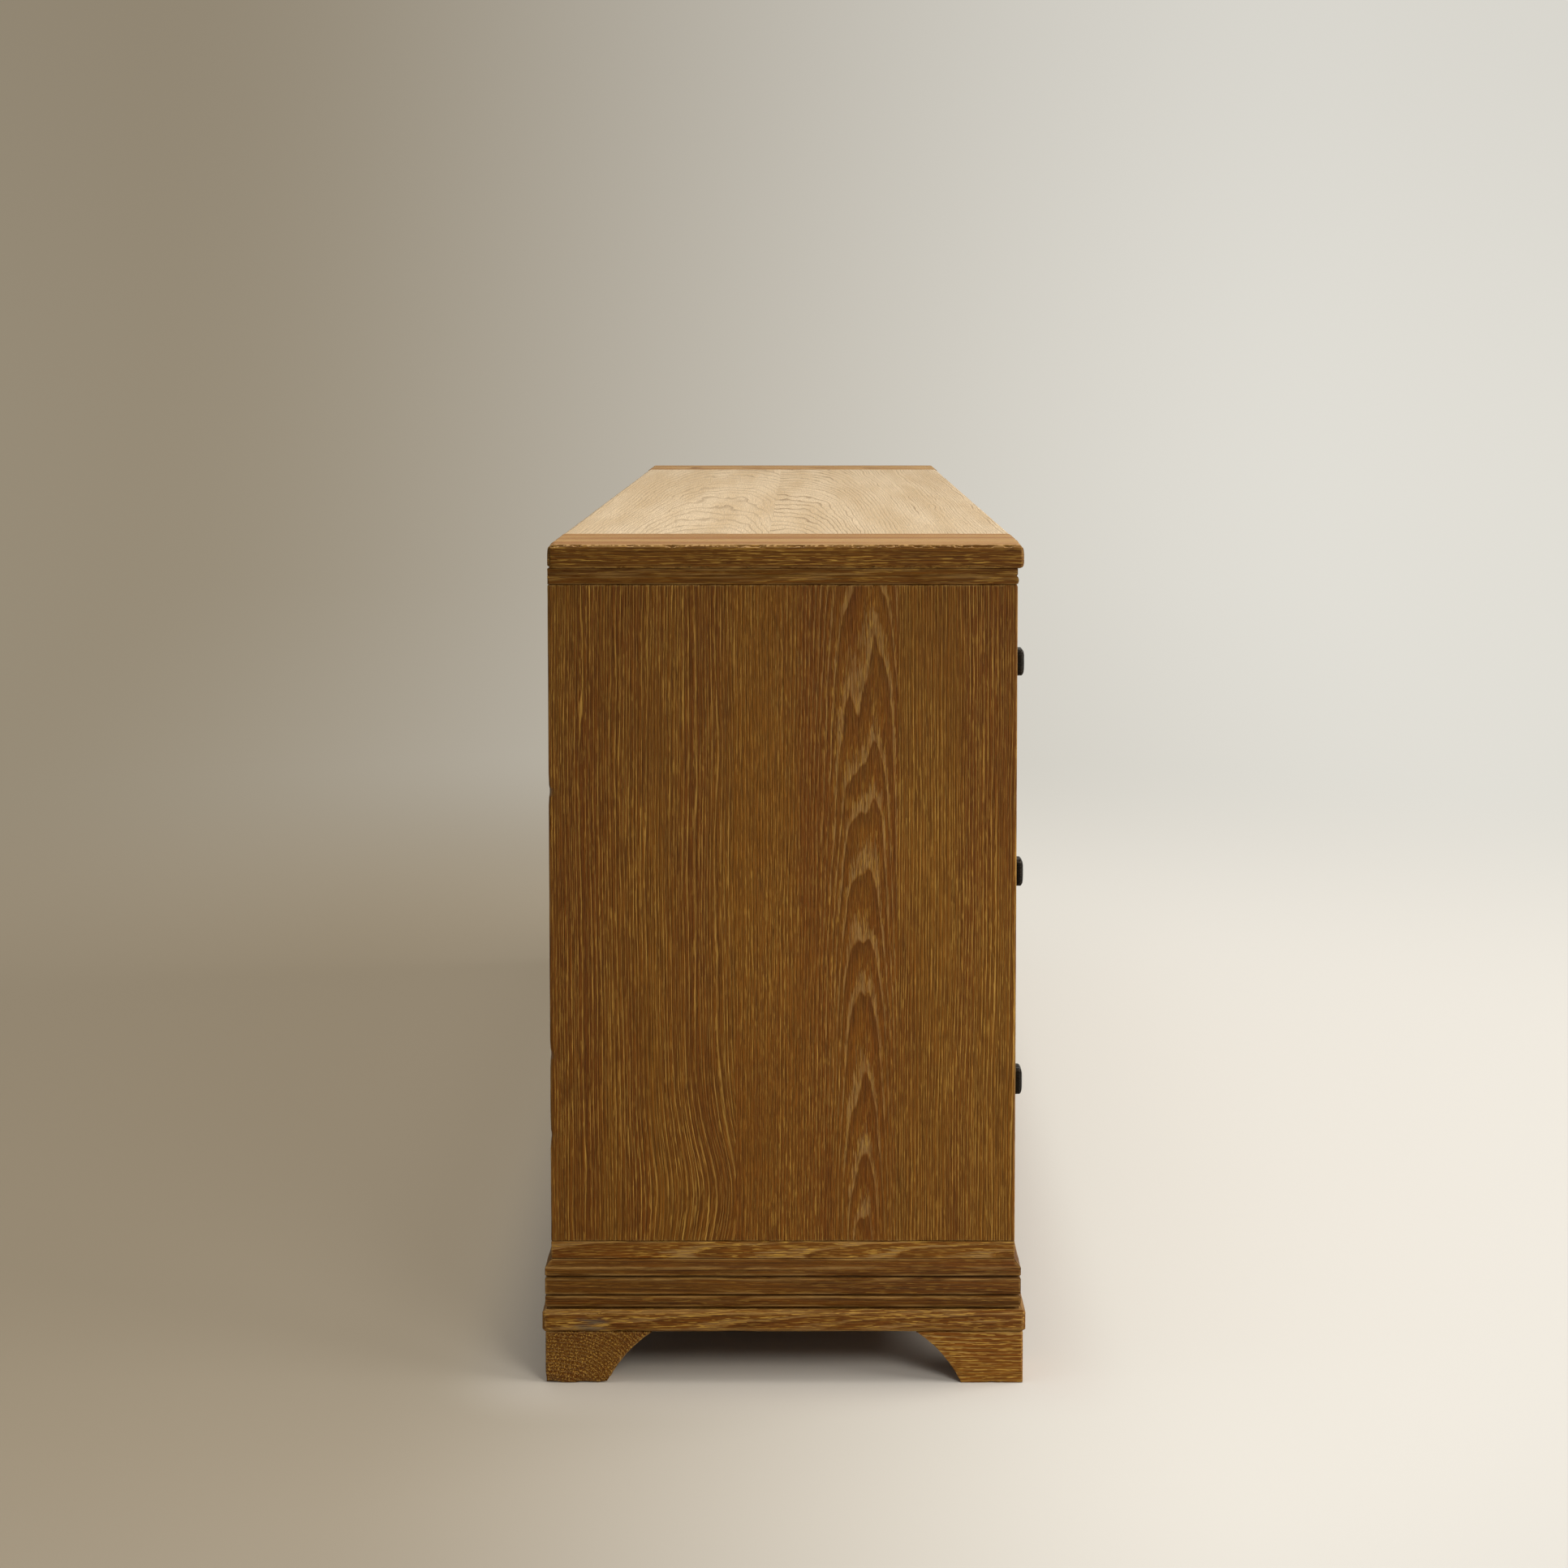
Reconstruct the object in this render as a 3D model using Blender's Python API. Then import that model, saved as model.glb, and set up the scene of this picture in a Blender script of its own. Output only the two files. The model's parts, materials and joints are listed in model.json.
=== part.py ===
"""An oak sideboard: two banks of three drawers with a two-door cupboard between them.

Metres, +Z up. The length runs along X and the front faces -Y.
The origin lies on the floor, under the middle of the whole object's box.
"""
from math import atan2, cos, pi, sin, sqrt

import bmesh
import bpy
from mathutils import Matrix, Vector

# Clearances
JOINT_GAP = 0.0003            # glue line or running gap between two pieces that touch
REVEAL = 0.0020               # gap round an inset drawer front, and above and below a door
MEETING_GAP = 0.0030          # gap between the two doors
DRAWER_SIDE_GAP = 0.0015      # play on each side of a drawer box
CUT_OVERRUN = 0.0100          # how far a cut runs past the face that it opens

# Top
TOP_LENGTH = 2.0000
TOP_DEPTH = 0.4800
TOP_THICKNESS = 0.0240
TOP_END_OVERHANG = 0.0050
TOP_FRONT_OVERHANG = 0.0060
TOP_UPPER_ARRIS = 0.0050      # radius of the upper edge
TOP_LOWER_ARRIS = 0.0020
TOP_CORNER_RADIUS = 0.0030    # corners of the breadboard ends, seen from above
BREADBOARD_WIDTH = 0.1720
TONGUE_LENGTH = 0.0150        # tongue of the field in the breadboard's groove
TONGUE_THICKNESS = 0.0080
TONGUE_SETBACK = 0.0300       # from the front and back edges to the ends of the tongue

# Moulding under the top
TOP_MOULDING_HEIGHT = 0.0165
TOP_MOULDING_DEPTH = 0.0220
QUIRK_DROP = 0.0075           # from the top of the moulding to the middle of its quirk
QUIRK_WIDTH = 0.0022
QUIRK_DEPTH = 0.0014
BEAD_PROUD = 0.0010

# Carcass
END_PANEL_THICKNESS = 0.0220
PARTITION_THICKNESS = 0.0200
DRAWER_OPENING_WIDTH = 0.3960
DRAWER_OPENING_HEIGHT = 0.2125
DUST_BOARD_THICKNESS = 0.0180
FLOOR_THICKNESS = 0.0180
HOUSING_DEPTH = 0.0060        # dust boards and shelf in the uprights
BACK_PANEL_THICKNESS = 0.0090
BACK_PANEL_INSET = 0.0080     # behind the rear edge of the end panels
SHELF_HEIGHT = 0.3300         # underside above the carcass floor
SHELF_THICKNESS = 0.0180
SHELF_SETBACK = 0.0600        # behind the front of the carcass

# Base
FOOT_HEIGHT = 0.0535
FOOT_TOP_WIDTH = 0.1100
FOOT_BOTTOM_WIDTH = 0.0635
FOOT_THICKNESS = 0.0240
FOOT_ARC_RADIUS = 0.1300      # hollow inner edge of a bracket foot
FOOT_PROUD = 0.0060           # beyond the carcass at the ends and the back
FOOT_FRONT_PROUD = 0.0085
BASE_BOARD_THICKNESS = 0.0233
BASE_BOARD_PROUD = 0.0090
BASE_BOARD_FRONT_PROUD = 0.0110
BASE_BOARD_ARRIS = 0.0030
BAND_HEIGHT = 0.0142
FASCIA_HEIGHT = 0.0190
CAP_HEIGHT = 0.0175
CAP_CHAMFER = 0.0080          # height of the sloped face on the cap
BASE_MOULDING_PROUD = 0.0060
BASE_MOULDING_INSIDE = 0.0340  # how far the moulding reaches in under the carcass
BASE_GROOVE_DEPTH = 0.0030
BASE_GROOVE_HEIGHT = 0.0012
BASE_ROUND = 0.0015           # small radius beside the grooves
BAND_UNDERCUT = 0.0060        # radius of the band's lower edge

# Drawers
DRAWER_FRONT_THICKNESS = 0.0200
DRAWER_WALL = 0.0120
DRAWER_BOTTOM = 0.0080
DRAWER_HEADROOM = 0.0400      # between the top of a drawer box and the board above
DRAWER_BACK_GAP = 0.0300      # behind a closed drawer
FRONT_ARRIS = 0.0012

# Doors
DOOR_THICKNESS = 0.0220
DOOR_STILE = 0.0750
DOOR_RAIL = 0.0800
DOOR_PANEL_THICKNESS = 0.0090
DOOR_PANEL_SETBACK = 0.0080   # behind the face of the frame
PANEL_GROOVE_DEPTH = 0.0100
CATCH_WIDTH = 0.0400
CATCH_DEPTH = 0.0140
CATCH_DROP = 0.0200           # below the moulding, behind the door
CATCH_GAP = 0.0006

# Hinges
HINGE_HEIGHT = 0.0600
HINGE_WIDTH = 0.0180          # of a leaf, behind the front
HINGE_LEAF = 0.0012
HINGE_BARREL_RADIUS = 0.0040
HINGE_PIN_RADIUS = 0.0020
HINGE_SETOUT = 0.0005         # from the barrel to the front of the carcass
HINGE_INSET = 0.0900          # from the end of a door to the middle of its hinge
PIN_SHORT = 0.0010            # the pin ends this far inside the barrel

# Knobs
KNOB_HEIGHT = 0.0290
KNOB_WIDTH = 0.0260
KNOB_PROJECTION = 0.0240
KNOB_LIFT = 0.0042            # above the middle of a drawer front
KNOB_DOME = 0.0022
KNOB_HEAD = 0.0105            # thickness of the head without its dome
KNOB_EDGE = 0.0011
KNOB_CORNER = 0.0030
KNOB_NECK_RADIUS = 0.0065
KNOB_COLLAR_RADIUS = 0.0085
KNOB_COLLAR = 0.0025

# Facets
ROUND_STEPS = 3               # on a small rounded edge
ARC_STEPS = 6                 # on a foot's hollow and on the bead
BARREL_SIDES = 16
KNOB_CORNER_STEPS = 3

# Heights that follow from the sizes above
ROWS = ("lower", "middle", "upper")
SIDES = {"left": -1, "right": 1}
MOULDING_BOTTOM = FOOT_HEIGHT + BASE_BOARD_THICKNESS
BASE_MOULDING_HEIGHT = BAND_HEIGHT + FASCIA_HEIGHT + CAP_HEIGHT
FLOOR_BOTTOM = MOULDING_BOTTOM + BASE_MOULDING_HEIGHT
FLOOR_TOP = FLOOR_BOTTOM + FLOOR_THICKNESS
ROW_PITCH = DRAWER_OPENING_HEIGHT + DUST_BOARD_THICKNESS
OPENING_TOP = FLOOR_TOP + len(ROWS) * ROW_PITCH - DUST_BOARD_THICKNESS
TOP_BOTTOM = OPENING_TOP + TOP_MOULDING_HEIGHT
TOP_SURFACE = TOP_BOTTOM + TOP_THICKNESS

# Plan that follows from the sizes above
CARCASS_HALF = TOP_LENGTH / 2 - TOP_END_OVERHANG
CARCASS_DEPTH = TOP_DEPTH - TOP_FRONT_OVERHANG
FRONT_Y = (KNOB_PROJECTION - CARCASS_DEPTH - BASE_BOARD_PROUD) / 2
BACK_Y = FRONT_Y + CARCASS_DEPTH
MIDDLE_Y = (FRONT_Y + BACK_Y) / 2
BACK_PANEL_Y = BACK_Y - BACK_PANEL_INSET - BACK_PANEL_THICKNESS
INSIDE_BACK_Y = BACK_PANEL_Y - JOINT_GAP
INSIDE_HALF = CARCASS_HALF - END_PANEL_THICKNESS
DOORWAY_HALF = INSIDE_HALF - DRAWER_OPENING_WIDTH - PARTITION_THICKNESS
HINGE_GAP = 2 * HINGE_LEAF + 3 * JOINT_GAP
HINGE_AXIS_X = DOORWAY_HALF - HINGE_GAP / 2
HINGE_AXIS_Y = FRONT_Y - HINGE_SETOUT - HINGE_BARREL_RADIUS
DOOR_LOW = FLOOR_TOP + REVEAL
DOOR_HIGH = OPENING_TOP - REVEAL
DOOR_OUTER_X = DOORWAY_HALF - HINGE_GAP
DOOR_INNER_X = MEETING_GAP / 2


def clear_scene():
    for obj in list(bpy.data.objects):
        bpy.data.objects.remove(obj, do_unlink=True)


def finish(name, colour, roughness, metallic=0.0):
    material = bpy.data.materials.new(name)
    material.use_nodes = True
    shader = material.node_tree.nodes["Principled BSDF"]
    shader.inputs["Base Color"].default_value = (*colour, 1.0)
    shader.inputs["Roughness"].default_value = roughness
    shader.inputs["Metallic"].default_value = metallic
    return material


def closed_mesh(name, bm):
    """Turns a bmesh into a mesh whose faces all point out."""
    bmesh.ops.recalc_face_normals(bm, faces=bm.faces[:])
    mesh = bpy.data.meshes.new(name)
    bm.to_mesh(mesh)
    bm.free()
    return mesh


def block_bmesh(low, high):
    """A box between two corners, whichever way round they are given."""
    low, high = Vector(low), Vector(high)
    bm = bmesh.new()
    bmesh.ops.create_cube(bm, size=1.0)
    size = [abs(b - a) for a, b in zip(low, high)]
    bmesh.ops.transform(bm, matrix=Matrix.Diagonal((*size, 1.0)), verts=bm.verts[:])
    bmesh.ops.translate(bm, vec=(low + high) / 2, verts=bm.verts[:])
    return bm


def block(name, low, high, arris=0.0):
    bm = block_bmesh(low, high)
    if arris:
        bmesh.ops.bevel(bm, geom=bm.edges[:], offset=arris, segments=1, affect="EDGES")
    return closed_mesh(name, bm)


def rod(name, radius, low, high):
    """An upright cylinder on the local Z axis."""
    bm = bmesh.new()
    bmesh.ops.create_cone(bm, cap_ends=True, segments=BARREL_SIDES, radius1=radius, radius2=radius,
                          depth=high - low)
    bmesh.ops.translate(bm, vec=(0, 0, (low + high) / 2), verts=bm.verts[:])
    return closed_mesh(name, bm)


def loft(name, loops):
    """Skins a row of loops that have the same number of points, and caps both ends."""
    bm = bmesh.new()
    rings = [[bm.verts.new(point) for point in loop] for loop in loops]
    count = len(rings[0])
    for ring, following in zip(rings, rings[1:]):
        for i in range(count):
            j = (i + 1) % count
            bm.faces.new((ring[i], ring[j], following[j], following[i]))
    bm.faces.new(rings[0])
    bm.faces.new(rings[-1])
    return closed_mesh(name, bm)


def fused(name, base, joined=(), cut=()):
    """One mesh: the base with some meshes joined to it and others then cut out of it."""
    carrier = bpy.data.objects.new(name + "_blank", base)
    bpy.context.scene.collection.objects.link(carrier)
    helpers = []
    steps = [(mesh, "UNION") for mesh in joined] + [(mesh, "DIFFERENCE") for mesh in cut]
    for mesh, operation in steps:
        helper = bpy.data.objects.new(name + "_helper", mesh)
        bpy.context.scene.collection.objects.link(helper)
        helpers.append(helper)
        modifier = carrier.modifiers.new(operation, "BOOLEAN")
        modifier.operation = operation
        modifier.object = helper
    depsgraph = bpy.context.evaluated_depsgraph_get()
    result = bpy.data.meshes.new_from_object(carrier.evaluated_get(depsgraph))
    for obj in (carrier, *helpers):
        bpy.data.objects.remove(obj, do_unlink=True)
    result.name = name
    return result


def place(name, mesh, material, location, parent=None, turn=0.0):
    """Puts a mesh into the scene as a named piece, in world coordinates."""
    obj = bpy.data.objects.new(name, mesh)
    bpy.context.scene.collection.objects.link(obj)
    mesh.materials.clear()
    mesh.materials.append(material)
    obj.location = location
    obj.rotation_euler = (0, 0, turn)
    if parent:
        obj.parent = parent
        obj.matrix_parent_inverse = Matrix.Translation(-Vector(parent.location))
    return obj


def board(name, material, low, high, cuts=(), arris=0.0, parent=None):
    """A board between two corners, its origin at its middle, with boxes cut out of it."""
    middle = (Vector(low) + Vector(high)) / 2
    mesh = block(name, Vector(low) - middle, Vector(high) - middle, arris)
    if cuts:
        cutters = [block("cut", Vector(a) - middle, Vector(b) - middle) for a, b in cuts]
        mesh = fused(name, mesh, cut=cutters)
    return place(name, mesh, material, middle, parent)


def axis_empty(name, location):
    """An empty on a joint's axis, which the pieces of a moving body hang from."""
    empty = bpy.data.objects.new(name, None)
    empty.location = location
    bpy.context.scene.collection.objects.link(empty)
    return empty


def mitred_length(name, material, profile, half_length, location, turn, square_end=0):
    """A moulding along local X that faces local -Y, with its ends mitred.

    Each profile point is (how far it stands out from the face, height). square_end is -1 or 1
    for the local X end that is cut square instead, flush with the carcass.
    """
    ends = []
    for side in (-1, 1):
        square = side == square_end
        loop = []
        for out, height in profile:
            reach = half_length + (0.0 if square else out - JOINT_GAP)
            loop.append((side * reach, -out, height))
        ends.append(loop)
    return place(name, loft(name, ends), material, location, turn=turn)


def soften(bm, edges, radius):
    bmesh.ops.bevel(bm, geom=edges, offset=radius, segments=ROUND_STEPS, profile=0.5,
                    affect="EDGES", clamp_overlap=True)


def level_edges(bm, height, skip_x=None):
    """Edges that lie at one height, apart from those on the plane X = skip_x."""
    near = JOINT_GAP / 10
    found = []
    for edge in bm.edges:
        on_level = all(abs(v.co.z - height) < near for v in edge.verts)
        on_joint = skip_x is not None and all(abs(v.co.x - skip_x) < near for v in edge.verts)
        if on_level and not on_joint and len(edge.link_faces) == 2:
            if edge.calc_face_angle(0.0) > pi / 4:
                found.append(edge)
    return found


def tongue_box(side, grow):
    """The tongue on one end of the field, or with grow the groove that takes it."""
    joint_x = side * (TOP_LENGTH / 2 - BREADBOARD_WIDTH)
    middle_z = TOP_BOTTOM + TOP_THICKNESS / 2
    half = TONGUE_THICKNESS / 2 + grow
    front = FRONT_Y - TOP_FRONT_OVERHANG + TONGUE_SETBACK - grow
    back = BACK_Y - TONGUE_SETBACK + grow
    low = Vector((joint_x - side * CUT_OVERRUN, front, middle_z - half))
    high = Vector((joint_x + side * (TONGUE_LENGTH + grow), back, middle_z + half))
    return low, high


def build_top(pale_oak, red_oak):
    front = FRONT_Y - TOP_FRONT_OVERHANG
    joint_x = TOP_LENGTH / 2 - BREADBOARD_WIDTH
    field_half = joint_x - JOINT_GAP
    middle = Vector((0, (front + BACK_Y) / 2, TOP_BOTTOM))
    bm = block_bmesh(Vector((-field_half, front, TOP_BOTTOM)) - middle,
                     Vector((field_half, BACK_Y, TOP_SURFACE)) - middle)
    edge_runs = ((TOP_THICKNESS, TOP_UPPER_ARRIS), (0.0, TOP_LOWER_ARRIS))
    for height, radius in edge_runs:
        level = level_edges(bm, height)
        soften(bm, [e for e in level if abs(e.verts[0].co.y - e.verts[1].co.y) < JOINT_GAP], radius)
    tongues = [block("tongue", *(corner - middle for corner in tongue_box(side, 0.0)))
               for side in SIDES.values()]
    place("top_field", fused("top_field", closed_mesh("field", bm), joined=tongues), pale_oak, middle)

    for word, side in SIDES.items():
        name = "breadboard_" + word
        centre = Vector((side * (TOP_LENGTH / 2 - BREADBOARD_WIDTH / 2), middle.y, TOP_BOTTOM))
        half = BREADBOARD_WIDTH / 2
        half_depth = TOP_DEPTH / 2
        bm = block_bmesh((-half, -half_depth, 0.0), (half, half_depth, TOP_THICKNESS))
        corners = [e for e in bm.edges if all(v.co.x * side > 0 for v in e.verts)
                   and abs(e.verts[0].co.z - e.verts[1].co.z) > JOINT_GAP]
        soften(bm, corners, TOP_CORNER_RADIUS)
        for height, radius in edge_runs:
            soften(bm, level_edges(bm, height, skip_x=-side * half), radius)
        groove = block("groove", *(corner - centre for corner in tongue_box(side, JOINT_GAP)))
        place(name, fused(name, closed_mesh(name, bm), cut=[groove]), red_oak, centre)


def build_top_moulding(material):
    """Front rail and end strips under the top, with a quirk and a flat bead."""
    top, bottom = TOP_BOTTOM - JOINT_GAP, OPENING_TOP
    quirk = TOP_BOTTOM - QUIRK_DROP
    bead_top = quirk - QUIRK_WIDTH / 2
    profile = [(-TOP_MOULDING_DEPTH, bottom), (-TOP_MOULDING_DEPTH, top), (0.0, top),
               (0.0, quirk + QUIRK_WIDTH / 2), (-QUIRK_DEPTH, quirk)]
    for step in range(ARC_STEPS + 1):
        share = step / ARC_STEPS
        profile.append((BEAD_PROUD * sin(pi * share), bead_top + (bottom - bead_top) * share))
    mitred_length("top_moulding_front", material, profile, CARCASS_HALF, (0, FRONT_Y, 0), 0.0)
    for word, side in SIDES.items():
        mitred_length("top_moulding_" + word, material, profile, CARCASS_DEPTH / 2,
                      (side * CARCASS_HALF, MIDDLE_Y, 0), side * pi / 2, square_end=side)


def dust_levels():
    """Undersides of the dust boards, named by the drawer that they carry."""
    return {row: FLOOR_TOP + index * ROW_PITCH - DUST_BOARD_THICKNESS
            for index, row in enumerate(ROWS) if index}


def housing(face_x, side, front, level, thickness):
    """The box of a housing that is cut into an upright from face_x towards side."""
    low = (face_x - side * CUT_OVERRUN, front - JOINT_GAP, level - JOINT_GAP)
    high = (face_x + side * HOUSING_DEPTH, INSIDE_BACK_Y + JOINT_GAP, level + thickness + JOINT_GAP)
    return low, high


def build_carcass(oak, inside_oak):
    cut_front = FRONT_Y - CUT_OVERRUN
    shelf_level = FLOOR_TOP + SHELF_HEIGHT
    for word, side in SIDES.items():
        dust_cuts_out = [housing(side * INSIDE_HALF, side, cut_front, level, DUST_BOARD_THICKNESS)
                         for level in dust_levels().values()]
        board("end_panel_" + word, oak, (side * CARCASS_HALF, FRONT_Y, FLOOR_TOP),
              (side * INSIDE_HALF, BACK_Y, OPENING_TOP - JOINT_GAP), dust_cuts_out)

        drawer_face = side * (DOORWAY_HALF + PARTITION_THICKNESS)
        cuts = [housing(drawer_face, -side, cut_front, level, DUST_BOARD_THICKNESS)
                for level in dust_levels().values()]
        cuts.append(housing(side * DOORWAY_HALF, side, FRONT_Y + SHELF_SETBACK, shelf_level, SHELF_THICKNESS))
        rail_notch = ((side * DOORWAY_HALF - side * CUT_OVERRUN, cut_front, OPENING_TOP - JOINT_GAP),
                      (drawer_face + side * CUT_OVERRUN, FRONT_Y + TOP_MOULDING_DEPTH + JOINT_GAP,
                       TOP_BOTTOM + CUT_OVERRUN))
        board("partition_" + word, oak, (side * DOORWAY_HALF, FRONT_Y, FLOOR_TOP),
              (drawer_face, INSIDE_BACK_Y, TOP_BOTTOM - JOINT_GAP), [*cuts, rail_notch])

        reach = HOUSING_DEPTH - JOINT_GAP
        for row, level in dust_levels().items():
            board(f"dust_board_{word}_{row}", oak, (drawer_face - side * reach, FRONT_Y, level),
                  (side * (INSIDE_HALF + reach), INSIDE_BACK_Y, level + DUST_BOARD_THICKNESS))

    board("carcass_floor", oak, (-CARCASS_HALF, FRONT_Y, FLOOR_BOTTOM),
          (CARCASS_HALF, BACK_Y, FLOOR_TOP - JOINT_GAP))
    back_half = CARCASS_HALF - max(END_PANEL_THICKNESS, TOP_MOULDING_DEPTH) - JOINT_GAP
    board("back_panel", inside_oak, (-back_half, BACK_PANEL_Y, FLOOR_TOP),
          (back_half, BACK_PANEL_Y + BACK_PANEL_THICKNESS, TOP_BOTTOM - JOINT_GAP))
    shelf_half = DOORWAY_HALF + HOUSING_DEPTH - JOINT_GAP
    board("shelf", inside_oak, (-shelf_half, FRONT_Y + SHELF_SETBACK, shelf_level),
          (shelf_half, INSIDE_BACK_Y, shelf_level + SHELF_THICKNESS), arris=FRONT_ARRIS)


def base_moulding_profile():
    """Section of the base moulding: chamfered cap, groove, fascia, V groove and undercut band."""
    face = BASE_MOULDING_PROUD
    fascia_top = MOULDING_BOTTOM + BAND_HEIGHT + FASCIA_HEIGHT
    band_top = MOULDING_BOTTOM + BAND_HEIGHT
    cap_top = FLOOR_BOTTOM - JOINT_GAP
    half_groove = BASE_GROOVE_HEIGHT / 2
    points = [(-BASE_MOULDING_INSIDE, MOULDING_BOTTOM), (-BASE_MOULDING_INSIDE, cap_top), (0.0, cap_top),
              (face, FLOOR_BOTTOM - CAP_CHAMFER)]
    points += [(face, fascia_top + half_groove + BASE_ROUND), (face - BASE_ROUND, fascia_top + half_groove),
               (face - BASE_GROOVE_DEPTH, fascia_top + half_groove),
               (face - BASE_GROOVE_DEPTH, fascia_top - half_groove),
               (face - BASE_ROUND, fascia_top - half_groove), (face, fascia_top - half_groove - BASE_ROUND)]
    points += [(face, band_top + BASE_ROUND), (face - BASE_GROOVE_DEPTH, band_top),
               (face, band_top - BASE_ROUND)]
    for step in range(ROUND_STEPS + 1):
        angle = pi / 2 * step / ROUND_STEPS
        points.append((face - BAND_UNDERCUT * (1 - cos(angle)),
                       MOULDING_BOTTOM + BAND_UNDERCUT * (1 - sin(angle))))
    return points


def foot_mesh(name, side_x, side_y):
    """An L of two brackets, mitred at its outer corner, which is the local origin."""
    top = FOOT_HEIGHT - JOINT_GAP
    start = Vector((FOOT_BOTTOM_WIDTH, 0.0))
    end = Vector((FOOT_TOP_WIDTH, top))
    chord = end - start
    to_centre = sqrt(FOOT_ARC_RADIUS ** 2 - (chord.length / 2) ** 2)
    centre = (start + end) / 2 + Vector((chord.y, -chord.x)).normalized() * to_centre
    first = atan2(start.y - centre.y, start.x - centre.x) % (2 * pi)
    last = atan2(end.y - centre.y, end.x - centre.x) % (2 * pi)
    outline = [(0.0, 0.0)]
    for step in range(ARC_STEPS + 1):
        angle = first + (last - first) * step / ARC_STEPS
        outline.append((centre.x + FOOT_ARC_RADIUS * cos(angle), centre.y + FOOT_ARC_RADIUS * sin(angle)))
    outline.append((0.0, top))

    bm = bmesh.new()
    shared = {}

    def corner(x, y, z):
        key = (x, y, z)
        if key not in shared:
            shared[key] = bm.verts.new((side_x * x, side_y * y, z))
        return shared[key]

    for along_x in (True, False):
        outer, inner = [], []
        for run, height in outline:
            far = max(run, FOOT_THICKNESS)
            if along_x:
                outer.append(corner(run, 0.0, height))
                inner.append(corner(far, FOOT_THICKNESS, height))
            else:
                outer.append(corner(0.0, run, height))
                inner.append(corner(FOOT_THICKNESS, far, height))
        bm.faces.new(outer)
        bm.faces.new(inner)
        for i in range(len(outline) - 1):
            bm.faces.new((outer[i], outer[i + 1], inner[i + 1], inner[i]))
    return closed_mesh(name, bm)


def build_base(oak):
    profile = base_moulding_profile()
    mitred_length("base_moulding_front", oak, profile, CARCASS_HALF, (0, FRONT_Y, 0), 0.0)
    mitred_length("base_moulding_back", oak, profile, CARCASS_HALF, (0, BACK_Y, 0), pi)
    for word, side in SIDES.items():
        mitred_length("base_moulding_" + word, oak, profile, CARCASS_DEPTH / 2,
                      (side * CARCASS_HALF, MIDDLE_Y, 0), side * pi / 2)
    half_board = CARCASS_HALF + BASE_BOARD_PROUD
    board("base_board", oak, (-half_board, FRONT_Y - BASE_BOARD_FRONT_PROUD, FOOT_HEIGHT),
          (half_board, BACK_Y + BASE_BOARD_PROUD, MOULDING_BOTTOM - JOINT_GAP), arris=BASE_BOARD_ARRIS)
    faces = {"front": (1, FRONT_Y - FOOT_FRONT_PROUD), "back": (-1, BACK_Y + FOOT_PROUD)}
    for word, side in SIDES.items():
        for depth_word, (inward, face_y) in faces.items():
            name = f"foot_{depth_word}_{word}"
            corner = (side * (CARCASS_HALF + FOOT_PROUD), face_y, 0.0)
            place(name, foot_mesh(name, -side, inward), oak, corner)


def rounded_loop(out, half_width, half_height, radius):
    """A rounded rectangle across the knob's axis, at a distance out from the face behind it."""
    points = []
    for quarter in range(4):
        turn = quarter * pi / 2
        along = half_width - radius if quarter in (0, 3) else radius - half_width
        above = half_height - radius if quarter in (0, 1) else radius - half_height
        for step in range(KNOB_CORNER_STEPS + 1):
            angle = turn + pi / 2 * step / KNOB_CORNER_STEPS
            points.append((along + radius * cos(angle), -out, above + radius * sin(angle)))
    return points


def knob_mesh():
    """A square pillow on a round neck. The local origin is on the face that carries it."""
    half_width, half_height = KNOB_WIDTH / 2, KNOB_HEIGHT / 2
    head_front = KNOB_PROJECTION - KNOB_DOME
    head_back = head_front - KNOB_HEAD

    def round_loop(out, radius):
        return rounded_loop(out, radius, radius, radius)

    def head_loop(out, inset):
        return rounded_loop(out, half_width - inset, half_height - inset, KNOB_CORNER)

    loops = [round_loop(JOINT_GAP, KNOB_COLLAR_RADIUS), round_loop(KNOB_COLLAR, KNOB_NECK_RADIUS),
             round_loop(head_back, KNOB_NECK_RADIUS), head_loop(head_back, KNOB_EDGE),
             head_loop(head_back + KNOB_EDGE, 0.0), head_loop(head_front - KNOB_EDGE, 0.0),
             head_loop(head_front, KNOB_EDGE)]
    for step in range(1, ROUND_STEPS + 1):
        angle = pi / 2 * step / (ROUND_STEPS + 0.5)
        out = head_front + KNOB_DOME * (sin(angle) if step < ROUND_STEPS else 1.0)
        scale = cos(angle)
        loops.append(rounded_loop(out, scale * (half_width - KNOB_EDGE), scale * (half_height - KNOB_EDGE),
                                  scale * KNOB_CORNER))
    return loft("knob", loops)


def drawer_box_mesh(half_width, depth, height):
    """An open box with its local origin at the middle of its front, on its underside."""
    def loop(inset, level):
        left, right = inset - half_width, half_width - inset
        return [(left, inset, level), (right, inset, level), (right, depth - inset, level),
                (left, depth - inset, level)]

    return loft("drawer_box", [loop(0.0, 0.0), loop(0.0, height), loop(DRAWER_WALL, height),
                               loop(DRAWER_WALL, DRAWER_BOTTOM)])


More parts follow.
